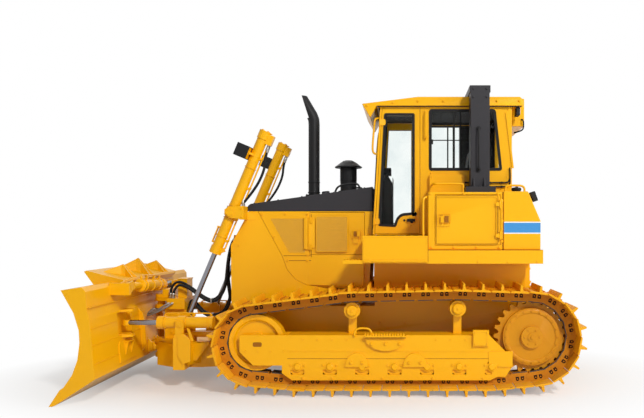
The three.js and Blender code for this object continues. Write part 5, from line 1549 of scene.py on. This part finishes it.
class BULLDOZER_OT_seat(bpy.types.Operator):
    """Suspension seat: padded cushion, back and arm pads on a bellows base"""
    bl_idname = "bulldozer.seat"
    bl_label = "Operator's seat"

    def execute(self, context):
        seat = bmesh.new()
        add_box(seat, (-824, -328), (-238, 238), (2078, 2176))
        self.pad("seat_cushion", seat, 9)
        back = bmesh.new()
        side_plate(back, [(-800, 2186), (-708, 2186), (-802, 2790), (-876, 2790)], (-218, 218))
        self.pad("seat_back_cushion", back, 9)
        for name, side in SIDES:
            arm = bmesh.new()
            add_box(arm, (-812, -438), (side * 298, side * 352), (2312, 2360))
            self.pad(f"arm_pad_{name}", arm, 5)
        bm = bmesh.new()
        for i in range(6):
            z = 1812 + i * 30
            reach = 186 if i % 2 == 0 else 168
            add_box(bm, (-575 - reach, -575 + reach), (-reach, reach), (z, z + 27))
        add_box(bm, (-770, -380), (-186, 186), (1990, 2052))
        add_box(bm, (-815, -745), (-288, 288), (2245, 2296))
        for side in (-1, 1):
            add_box(bm, (-790, -740), (side * 262, side * 330), (2246, 2308))
            add_rod(bm, (-520, side * 325, 2364), (-505, side * 325, 2368), 20, 18)
        new_piece("seat_base", bm, "chassis", "plastic", bevel=6, replaces=("operator_seat",))
        return {"FINISHED"}

    def pad(self, name, bm, cap):
        """Swell a plain block into a sewn pad with cloth pressure, then press its channels in."""
        bmesh.ops.recalc_face_normals(bm, faces=bm.faces)
        pad = new_piece(name, bm, "chassis", "cloth", bevel=16, replaces=("operator_seat",))
        remesh = pad.modifiers.new("even", "REMESH")
        remesh.mode = "VOXEL"
        remesh.voxel_size = PAD_GRID
        self.apply(pad)
        rest = [v.co.copy() for v in pad.data.vertices]
        cloth = pad.modifiers.new("pressure", "CLOTH")
        cloth.settings.use_pressure = True
        cloth.settings.uniform_pressure_force = 4
        cloth.settings.effector_weights.gravity = 0
        cloth.settings.quality = 3
        cloth.point_cache.frame_start, cloth.point_cache.frame_end = 1, PRESSED_FRAMES
        for step in range(1, PRESSED_FRAMES + 1):
            bpy.context.scene.frame_set(step)
        self.apply(pad)
        bpy.context.scene.frame_set(1)
        for v, was in zip(pad.data.vertices, rest):
            move = v.co - was
            if move.length > cap * MM:
                v.co = was + move.normalized() * cap * MM
        low = Vector(tuple(min(v.co[i] for v in pad.data.vertices) for i in range(3)))
        high = Vector(tuple(max(v.co[i] for v in pad.data.vertices) for i in range(3)))
        across = 0 if "cushion" in name and "back" not in name else 2
        for v in () if "arm" in name else pad.data.vertices:
            for share in (0.3, 0.5, 0.7):
                gap = abs(v.co[across] - (low[across] + (high[across] - low[across]) * share))
                dip = CHANNEL_DEPTH * math.exp(-(gap / CHANNEL_HALF) ** 2)
                if across == 0 and v.co.z > (low.z + high.z) / 2:
                    v.co.z -= dip
                if across == 2 and abs(v.co.y) < 0.19:
                    v.co.x -= dip
        grow = pad.modifiers.new("round", "SUBSURF")
        grow.levels = grow.render_levels = 1
        return pad

    def apply(self, pad):
        graph = bpy.context.evaluated_depsgraph_get()
        made = bpy.data.meshes.new_from_object(pad.evaluated_get(graph))
        pad.modifiers.clear()
        pad.data = made
        made.shade_smooth()


def cab_front(z):
    """How far forward the cab's leaning front stands at a height, in mm."""
    return 380 - 0.06 * (z - 1745)


class BULLDOZER_OT_cab_details(bpy.types.Operator):
    """Window seals, handles, hinges, rails, cables, roof bolts, levers and lamps of the cab"""
    bl_idname = "bulldozer.cab_details"
    bl_label = "Cab details"

    def execute(self, context):
        for name, side in SIDES:
            self.wall(name, side)
            self.door(name, side)
        self.roof()
        self.inside()
        self.arch()
        return {"FINISHED"}

    def wall(self, name, side):
        seal, trim, cable = bmesh.new(), bmesh.new(), bmesh.new()
        y = 620
        framed(seal, [(-276, 2488), (-276, 3202), (-1052, 3202), (-1129, 2488)], (y - 2, y + 5), side, 34, 36)
        for x in (-570, -644):
            add_box(seal, (x - 9, x + 9), (side * 606, side * 622), (2506, 3184))
        add_box(seal, (-1046, -292), (side * 604, side * 618), (2992, 3004))
        add_box(seal, (-325, -302), (side * 606, side * 634), (2796, 2850))
        new_piece(f"side_window_seal_{name}", seal, "chassis", "rubber", bevel=2)
        # extension panel low on the wall
        add_box(trim, (-683, -283), (side * 621, side * 682), (2216, 2438))
        face_bolts(trim, side, 682, [(x, z) for x in (-660, -306) for z in (2240, 2414)], 9, 7)
        spots = ((-1180, 2300), (-1180, 2420), (-760, 2420), (-300, 2462), (-1200, 3200), (-230, 3210))
        face_bolts(trim, side, y, spots, 8, 6)
        rail = [(-238, y - 2, 3170), (-238, y + 34, 3166), (-238, y + 52, 3130), (-238, y + 52, 2900),
                (-238, y + 34, 2864), (-238, y - 2, 2860)]
        bent_rod(trim, rail, 11, side=side)
        rail = [(-310, 684, 2318), (-310, 800, 2318), (-330, 898, 2316), (-400, 905, 2316), (-620, 905, 2316),
                (-648, 903, 2300), (-650, 903, 2240), (-650, 903, 2216)]
        bent_rod(trim, rail, 12, side=side)
        side_plate(trim, [(-1164, 3160), (-1188, 3160), (-1262, 2516), (-1240, 2516)], (y, y + 9), side)
        new_piece(f"cab_wall_trim_{name}", trim, "chassis", "paint", bevel=2)
        for z, turn in ((2350, 2362), (2302, 2312)):
            route = [(-690, 640, z), (-860, 641, z - 4), (-1080, 641, z), (-1180, 640, z + 2),
                     (-1212, 640, turn + 28), (-1216, 640, turn + 90), (-1214, 632, 2500), (-1214, 618, 2520)]
            bent_rod(cable, route, 8, 10, side)
            for x in (-760, -980, -1120):
                add_box(cable, (x - 9, x + 9), (side * 621, side * 652), (z - 12, z + 10))
        new_piece(f"cab_cables_{name}", cable, "chassis", "rubber", bevel=1)
        loop = bmesh.new()
        route = [(-4, 590, 3100), (34, 590, 3096), (52, 590, 3060), (60, 590, 2800), (52, 590, 2716),
                 (30, 590, 2690), (-4, 590, 2684)]
        bent_rod(loop, [(x + cab_front(z), y, z) for x, y, z in route], 12, side=side)
        new_piece(f"cab_front_loop_{name}", loop, "chassis", "paint")
        strip = bmesh.new()
        upper, lower = cab_front(2640), cab_front(1800)
        side_plate(strip, [(upper + 1, 2640), (upper + 14, 2640), (lower + 10, 1800), (lower + 1, 1800)],
                   (520, 560), side)
        new_piece(f"windshield_seal_{name}", strip, "chassis", "rubber", bevel=2)

    def door(self, name, side):
        body = f"cab_door_{name}"
        y = 620
        seal, trim = bmesh.new(), bmesh.new()
        framed(seal, [(-113, 2000), (-98, 1976), (34, 1964), (76, 1922), (104, 1834), (314, 1846),
                      (244, 3156), (-113, 3156)], (y - 1, y + 6), side, 31, 26)
        add_box(seal, (-118, -22), (side * (y + 1), side * (y + 30)), (1896, 1930))
        add_box(seal, (-92, -62), (side * (y + 1), side * (y + 12)), (1880, 1946))
        add_rod(seal, (8, side * (y - 1), 1913), (8, side * (y + 8), 1913), 13, 18)
        new_piece(f"cab_door_seal_{name}", seal, body, "rubber", bevel=2)
        for z in (1900, 3050):
            pin = cab_front(z) - 10
            side_plate(trim, [(pin - 8, z - 30), (pin - 8, z + 30), (pin - 66, z + 22), (pin - 66, z - 22)],
                       (y, y + 8), side)
            for dx in (-30, -52):
                add_bolt(trim, (pin + dx, side * (y + 8), z), (0, side, 0), 6, 4)
        new_piece(f"cab_door_trim_{name}", trim, body, "paint", bevel=1.2)

    def roof(self):
        bm, dark = bmesh.new(), bmesh.new()
        for side in (-1, 1):
            spots = ((440, 3236), (140, 3272), (-150, 3290), (-440, 3290), (-1060, 3290), (-1320, 3290))
            face_bolts(bm, side, 660, spots, 12, 12)
            add_box(dark, (-1350, 326), (side * 640, side * 656), (3226, 3236))
            route = [(-1300, side * 430, 2955), (-1300, side * 452, 2955), (-1330, side * 470, 2960),
                     (-1390, side * 470, 2990), (-1400, side * 470, 3060), (-1390, side * 462, 3104),
                     (-1380, side * 428, 3110)]
            bent_rod(dark, route, 9, 10)
        for x in (-320, -560, -1160):
            add_box(bm, (x - 100, x + 100), (-600, 600), (3338, 3346))
        for y in (-560, -280, 0, 280, 560):
            turned_box(bm, (330, y, 3283), (300, 16, 6), (0, 7, 0))
        add_box(bm, (-1412, -1275), (-426, 426), (3340, 3352))
        new_piece("roof_trim", bm, "chassis", "paint", bevel=3)
        for z in range(3056, 3330, 22):
            turned_box(dark, (-1417, 0, z), (8, 780, 10), (0, 30, 0))
        new_piece("roof_seals_and_vents", dark, "chassis", "rubber", bevel=1)
        lamp, lens = bmesh.new(), bmesh.new()
        for y in (-560, 560):
            add_box(lamp, (-1335, -1290), (y - 70, y + 70), (3130, 3226))
            add_box(lens, (-1339, -1334), (y - 58, y + 58), (3142, 3214))
        new_piece("roof_lamp_cases", lamp, "chassis", "plastic", bevel=6)
        new_piece("roof_lamp_lenses", lens, "chassis", "lens", bevel=1.5)

    def inside(self):
        bm = bmesh.new()
        for side in (-1, 1):
            add_box(bm, (-700, -330), (side * 400, side * 540), (1806, 2290))
            for x in (-420, -500):
                add_tube(bm, smooth_route([(x, side * 450, 2288), (x + 10, side * 450, 2350),
                                           (x + 26, side * 446, 2420)], 5), 8, 10)
                add_turned(bm, [(0, -34), (16, -30), (22, -8), (24, 14), (15, 32), (0, 36)],
                           (x + 30, side * 445, 2440), (x + 36, side * 444, 2480), 20)
        for y in (-150, 150):
            turned_box(bm, (120, y, 1870), (90, 120, 12), (0, -32, 0))
            add_rod(bm, (150, y, 1822), (135, y, 1868), 9, 12)
        add_box(bm, (172, 300), (-120, 180), (2480, 2560))
        new_piece("cab_consoles_and_levers", bm, "chassis", "plastic", bevel=5)
        dials = bmesh.new()
        for y in (-200, -100, 0, 100, 200):
            add_turned(dials, [(0, 3), (32, 3), (36, 0), (36, -6), (0, -6)],
                       (149, y, 2400), (140, y, 2400), 28)
        new_piece("console_dials", dials, "chassis", "pale")
        lining = bmesh.new()
        add_box(lining, (-1170, 310), (-548, 548), (3222, 3233))
        for x in (-900, -450, 0):
            add_box(lining, (x - 4, x + 4), (-540, 540), (3216, 3224))
        add_box(lining, (-1150, 290), (-530, 530), (1806, 1812))
        new_piece("cab_roof_lining", lining, "chassis", "inner", bevel=2)

    def arch(self):
        handle, gusset = bmesh.new(), bmesh.new()
        for side in (-1, 1):
            route = [(-825, 870, 2943), (-825, 896, 2940), (-825, 910, 2905), (-825, 918, 2710),
                     (-825, 910, 2515), (-825, 896, 2480), (-825, 870, 2476)]
            bent_rod(handle, route, 11, side=side)
            for z in (2943, 2476):
                add_rod(handle, (-825, side * 870, z), (-825, side * 876, z), 26, 20)
            for x in (-774, -894):
                cross_plate(gusset, [(side * 871, 2286), (side * 934, 2286), (side * 871, 2388)],
                            (x - 9, x + 9))
                add_bolt(gusset, (x, side * 916, 2286), (0, 0, 1), 10, 8)
            for x in (-930, -846, -760):
                add_bolt(gusset, (x, side * 910, 2285), (0, 0, 1), 13, 10)
            for z in (3392, 3300):
                for x in (-920, -770):
                    add_bolt(gusset, (x, side * 865, z), (0, side, 0), 11, 8)
        new_piece("arch_handles", handle, "chassis", "black")
        new_piece("arch_gussets", gusset, "chassis", "charcoal", bevel=2)


# ------------------------------------------------------------------ rear boxes and track frames
class BULLDOZER_OT_body_details(bpy.types.Operator):
    """Stripes, seams, latches, rails, caps, lamps and steps on the service boxes, tank and fenders"""
    bl_idname = "bulldozer.body_details"
    bl_label = "Box and fender details"

    def execute(self, context):
        for name, side in SIDES:
            self.box(name, side)
            self.stripe(name, side)
            self.fender(name, side)
        self.tank_top()
        self.rear()
        return {"FINISHED"}

    def box(self, name, side):
        door, lid, trim, dark = (bmesh.new() for _ in range(4))
        body = f"service_door_{name}"
        low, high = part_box(body)
        y = (high.y if side > 0 else -low.y) / MM
        framed(lid, [(-336, 2174), (-1012, 2174), (-1012, 1646), (-336, 1646)], (y - 1, y + 1.2), side, 6, 16)
        framed(door, [(-352, 1984), (-498, 1984), (-498, 1852), (-352, 1852)], (y - 1, y + 3), side, 7, 10)
        turned_box(door, (-402, side * (y + 7), 1918), (30, 14, 74))
        turned_box(lid, (-452, side * (y + 1.4), 1918), (42, 3, 70))
        for z in (1740, 2080):
            add_rod(door, (-1034, side * (y + 2), z - 44), (-1034, side * (y + 2), z + 44), 9, 14)
            side_plate(door, [(-1034, z - 26), (-1034, z + 26), (-984, z + 18), (-984, z - 18)],
                       (y, y + 5), side)
        new_piece(f"service_door_trim_{name}", door, body, "paint", bevel=1.2)
        new_piece(f"service_door_seams_{name}", lid, body, "seam")
        face = 1120
        spots = ((-1052, 2120), (-1052, 1900), (-1052, 1676), (-290, 1612), (-535, 1612), (-780, 1612),
               (-1025, 1612), (-272, 2196), (-1010, 2196), (-640, 2196))
        face_bolts(trim, side, face, spots, 12, 13)
        add_box(dark, (-1070, -1064), (side * (face - 1), side * (face + 1.5)), (1600, 2214))
        rail = [(-258, 1070, 2160), (-238, 1090, 2162), (-204, 1112, 2140), (-198, 1114, 2080),
                (-198, 1114, 1790), (-204, 1112, 1712), (-238, 1090, 1692), (-258, 1070, 1694)]
        bent_rod(trim, rail, 12, side=side)
        rail = [(-1110, 1000, 2220), (-1114, 1000, 2268), (-1140, 1000, 2290), (-1220, 1000, 2292),
                (-1290, 1000, 2288), (-1318, 1000, 2264), (-1322, 1000, 2220)]
        bent_rod(trim, rail, 12, side=side)
        new_piece(f"service_box_trim_{name}", trim, "chassis", "paint", bevel=1)
        new_piece(f"service_box_seams_{name}", dark, "chassis", "seam")

    def stripe(self, name, side):
        blue, pale = bmesh.new(), bmesh.new()
        face = 1120
        side_plate(blue, [(-1078, 1878), (-1476, 1878), (-1476, 1771), (-1078, 1771)],
                   (face - 1, face + 1), side)
        for z in (1884, 1765):
            side_plate(pale, [(-1078, z + 6), (-1476, z + 6), (-1476, z - 6), (-1078, z - 6)],
                       (face - 1, face + 1.2), side)
        new_piece(f"stripe_{name}", blue, "chassis", "blue")
        new_piece(f"stripe_edges_{name}", pale, "chassis", "pale")

    def fender(self, name, side):
        bm, dark = bmesh.new(), bmesh.new()
        face = 1175
        face_bolts(bm, side, face, [(x, 1455) for x in (418, 130, -160, -470, -790, -1110, -1430)], 9, 7)
        add_box(bm, (455, 676), (side * 912, side * 1166), (1432, 1472))
        for i in range(5):
            x = 498 + i * 36
            add_box(bm, (x - 7, x + 7), (side * 930, side * 1148), (1471, 1477))
        add_rod(bm, (-236, side * 1180, 1462), (450, side * 1180, 1462), 10, 16)
        for x in (-150, 110, 380):
            add_box(bm, (x - 14, x + 14), (side * 1172, side * 1186), (1448, 1480))
        for i in range(7):
            add_box(bm, (-180 + i * 84, -140 + i * 84), (side * 900, side * 1150), (1735, 1739))
        framed(bm, [(-236, 1722), (448, 1722), (448, 1480), (-236, 1480)], (face - 1, face + 2), side, 6, 14)
        new_piece(f"fender_trim_{name}", bm, "chassis", "paint", bevel=1)
        add_box(dark, (-1490, -252), (side * (face - 1), side * (face + 1.5)), (1580, 1586))
        add_box(dark, (-252, -246), (side * (face - 1), side * (face + 1.5)), (1446, 1734))
        new_piece(f"fender_seams_{name}", dark, "chassis", "seam")

    def tank_top(self):
        bm = bmesh.new()
        for side in (-1, 1):
            add_turned(bm, [(0, 62), (46, 60), (56, 50), (56, 30), (50, 28), (50, 0), (0, 0)],
                       (-1250, side * 880, 2216), (-1250, side * 880, 2300), 36)
            add_box(bm, (-1262, -1238), (side * 832, side * 928), (2270, 2284))
        new_piece("tank_filler_caps", bm, "chassis", "black", bevel=1.5)
        case, lens = bmesh.new(), bmesh.new()
        for side in (-1, 1):
            turned_box(case, (-1432, side * 900, 2172), (52, 190, 112), (0, 20, 0))
            turned_box(lens, (-1459, side * 900, 2182), (6, 166, 92), (0, 20, 0))
            add_box(case, (-1400, -1384), (side * 880, side * 920), (2050, 2160))
        new_piece("rear_lamp_cases", case, "chassis", "plastic", bevel=5)
        new_piece("rear_lamp_lenses", lens, "chassis", "lens", bevel=1.5)

    def rear(self):
        bm, lens = bmesh.new(), bmesh.new()
        for side in (-1, 1):
            for z in (1660, 1860):
                add_bolt(bm, (-1478, side * 1060, z), (-1, 0, 0), 9, 7)
            for z in (520, 660, 1180, 1340):
                for y in (300, 390):
                    add_bolt(bm, (-1480, side * y, z), (-1, 0, 0), 15, 12)
            face_bolts(bm, side, 440, [(x, 700) for x in (-1200, -900, -600, 0, 300, 1500)], 14, 10)
            add_box(lens, (-1484, -1477), (side * 690, side * 770), (1500, 1556))
        add_rod(bm, (-1480, 0, 1130), (-1502, 0, 1130), 118, 32)
        for y, z in ring_spots((0, 1130), 98, 10):
            add_bolt(bm, (-1502, y, z), (-1, 0, 0), 9, 7)
        new_piece("rear_face_fittings", bm, "chassis", "paint", bevel=1.5)
        new_piece("rear_marker_lenses", lens, "chassis", "red", bevel=1.5)


CARRIERS = ((586, 909), (-584, 932))


class BULLDOZER_OT_track_frame_details(bpy.types.Operator):
    """Recoil covers, steps, guards, caps, loops and bolts on the outer faces of the track frames"""
    bl_idname = "bulldozer.track_frame_details"
    bl_label = "Track frame details"

    def execute(self, context):
        for name, side in SIDES:
            self.outside(name, side)
            self.guards(name, side)
            self.hubs(name, side)
        return {"FINISHED"}

    def outside(self, name, side):
        bm, dark = bmesh.new(), bmesh.new()
        face = 1080
        add_box(bm, (-916, -741), (side * (face - 2), side * (face + 34)), (533, 707))
        framed(bm, [(-906, 697), (-751, 697), (-751, 543), (-906, 543)], (face + 33, face + 38), side, 14, 16)
        face_bolts(bm, side, face + 36, [(x, z) for x in (-893, -764) for z in (556, 684)], 8, 7)
        # step bracket: shelf, web and a toothed tread
        add_box(bm, (-11, 436), (side * face, side * (face + 74)), (634, 650))
        side_plate(bm, [(-10, 636), (436, 636), (420, 560), (330, 500), (250, 480), (170, 480), (90, 500),
                        (4, 560)], (face, face + 30), side)
        # a dark strip on the web just under the shelf: painted shadow of the shelf
        add_box(dark, (-8, 434), (side * (face + 30), side * (face + 32)), (618, 634))
        for i in range(15):
            x = 4 + i * 30
            for dy in (6, 62):
                side_plate(bm, [(x, 649), (x + 22, 649), (x + 11, 678)], (face + dy, face + dy + 8), side)
        face_bolts(bm, side, face + 30, [(x, 560) for x in (60, 212, 366)], 16, 16)
        for x0, x1 in ((403, 654), (-240, 22)):
            middle, half = (x0 + x1) / 2, (x1 - x0) / 2
            arc = [(middle + half * math.cos(math.pi * i / 12), 303 + 152 * math.sin(math.pi * i / 12))
                   for i in range(13)]
            side_plate(bm, arc, (face, face + 24), side)
            for dx in (-62, 62):
                add_bolt(bm, (middle + dx, side * (face + 24), 352), (0, side, 0), 16, 16)
        loop = [(364, face - 2, 638), (364, face + 22, 642), (366, face + 30, 676), (392, face + 30, 716),
                (456, face + 30, 728), (524, face + 30, 716), (550, face + 30, 676), (552, face + 22, 642),
                (552, face - 2, 638)]
        bent_rod(bm, loop, 11, side=side)
        add_box(bm, (-1177, -916), (side * (face - 24), side * (face + 6)), (300, 470))
        side_plate(bm, [(-930, 640), (-1100, 470), (-1177, 300), (-1100, 190), (-960, 190), (-930, 300)],
                   (face - 22, face - 8), side)
        face_bolts(bm, side, face - 6, [(x, 470) for x in (1330, 1470, 1610, 1750)], 12, 10)
        face_bolts(bm, side, face, [(x, 596) for x in (-660, -500, -340, 480, 640, 800, 960, 1120)], 9, 7)
        add_box(bm, (-900, 1285), (side * (face - 1), side * (face + 4)), (466, 474))
        new_piece(f"track_frame_fittings_{name}", bm, "chassis", "paint", bevel=1.4)
        side_plate(dark, rounded([(1570, 570), (1668, 570), (1668, 520), (1570, 520)], 20),
                   (face - 1, face + 1.2), side)
        add_box(dark, (-920, 1290), (side * (face - 1), side * (face + 1.4)), (388, 393))
        new_piece(f"track_frame_slots_{name}", dark, "chassis", "seam")

    def guards(self, name, side):
        bm = bmesh.new()
        for x in ROLLERS_X:
            add_turned(bm, [(0, 22), (30, 22), (38, 14), (38, 0), (0, 0)], (x, side * 1078, ROLLER_Z),
                       (x, side * 1120, ROLLER_Z), 24)
            for dx in (-74, 74):
                add_bolt(bm, (x + dx, side * 1080, 318), (0, side, 0), 11, 9)
            add_turned(bm, [(40, -4), (52, -2), (52, 4), (40, 6)], (x, side * 1082, ROLLER_Z),
                       (x, side * 1120, ROLLER_Z), 28, closed=True)
        face_bolts(bm, side, 1080, [(x, 176) for x in (-850, -300, 250, 800, 1120)], 11, 9)
        new_piece(f"roller_guard_bolts_{name}", bm, "chassis", "paint", bevel=1)

    def hubs(self, name, side):
        bm = bmesh.new()
        for x, z in CARRIERS:
            add_turned(bm, [(0, 16), (52, 14), (60, 6), (60, 0), (0, 0)], (x, side * 1038, z),
                       (x, side * 1080, z), 32)
            add_bolt(bm, (x, side * 1054, z), (0, side, 0), 12, 8)
            side_bolts(bm, (x, side * 1052, z), side, 42, 6, 5, 4, washer=False)
        new_piece(f"carrier_caps_{name}", bm, "chassis", "paint", bevel=0.8)


# ------------------------------------------------------------------ add-on
PIECES = (
    BULLDOZER_OT_stage, BULLDOZER_OT_bodywork, BULLDOZER_OT_tracks, BULLDOZER_OT_wheels,
    BULLDOZER_OT_cylinders, BULLDOZER_OT_linkage, BULLDOZER_OT_blade_details,
    BULLDOZER_OT_hood_details, BULLDOZER_OT_hoses, BULLDOZER_OT_seat, BULLDOZER_OT_cab_details,
    BULLDOZER_OT_body_details, BULLDOZER_OT_track_frame_details,
)


class BULLDOZER_PT_panel(bpy.types.Panel):
    """Lists the pieces, the sizes and the lamps"""
    bl_label = "Bulldozer"
    bl_idname = "BULLDOZER_PT_panel"
    bl_space_type = "VIEW_3D"
    bl_region_type = "UI"
    bl_category = "Bulldozer"

    def draw(self, context):
        for group, _ in SETTINGS:
            values = getattr(context.scene, group)
            for key in values.bl_rna.properties.keys():
                if key not in ("name", "rna_type"):
                    self.layout.prop(values, key)
        for piece in PIECES:
            self.layout.operator(piece.bl_idname)


SETTINGS = (("bulldozer_sizes", BulldozerSizes), ("bulldozer_paint", BulldozerPaint),
            ("bulldozer_light", BulldozerLight))
CLASSES = (*(kind for _, kind in SETTINGS), *PIECES, BULLDOZER_PT_panel)


def register():
    for kind in CLASSES:
        bpy.utils.register_class(kind)
    for group, kind in SETTINGS:
        setattr(bpy.types.Scene, group, bpy.props.PointerProperty(type=kind))


def unregister():
    for group, _ in SETTINGS:
        delattr(bpy.types.Scene, group)
    for kind in reversed(CLASSES):
        bpy.utils.unregister_class(kind)


def main():
    register()
    for piece in PIECES:
        group, name = piece.bl_idname.split(".")
        getattr(getattr(bpy.ops, group), name)()


if __name__ == "__main__":
    main()
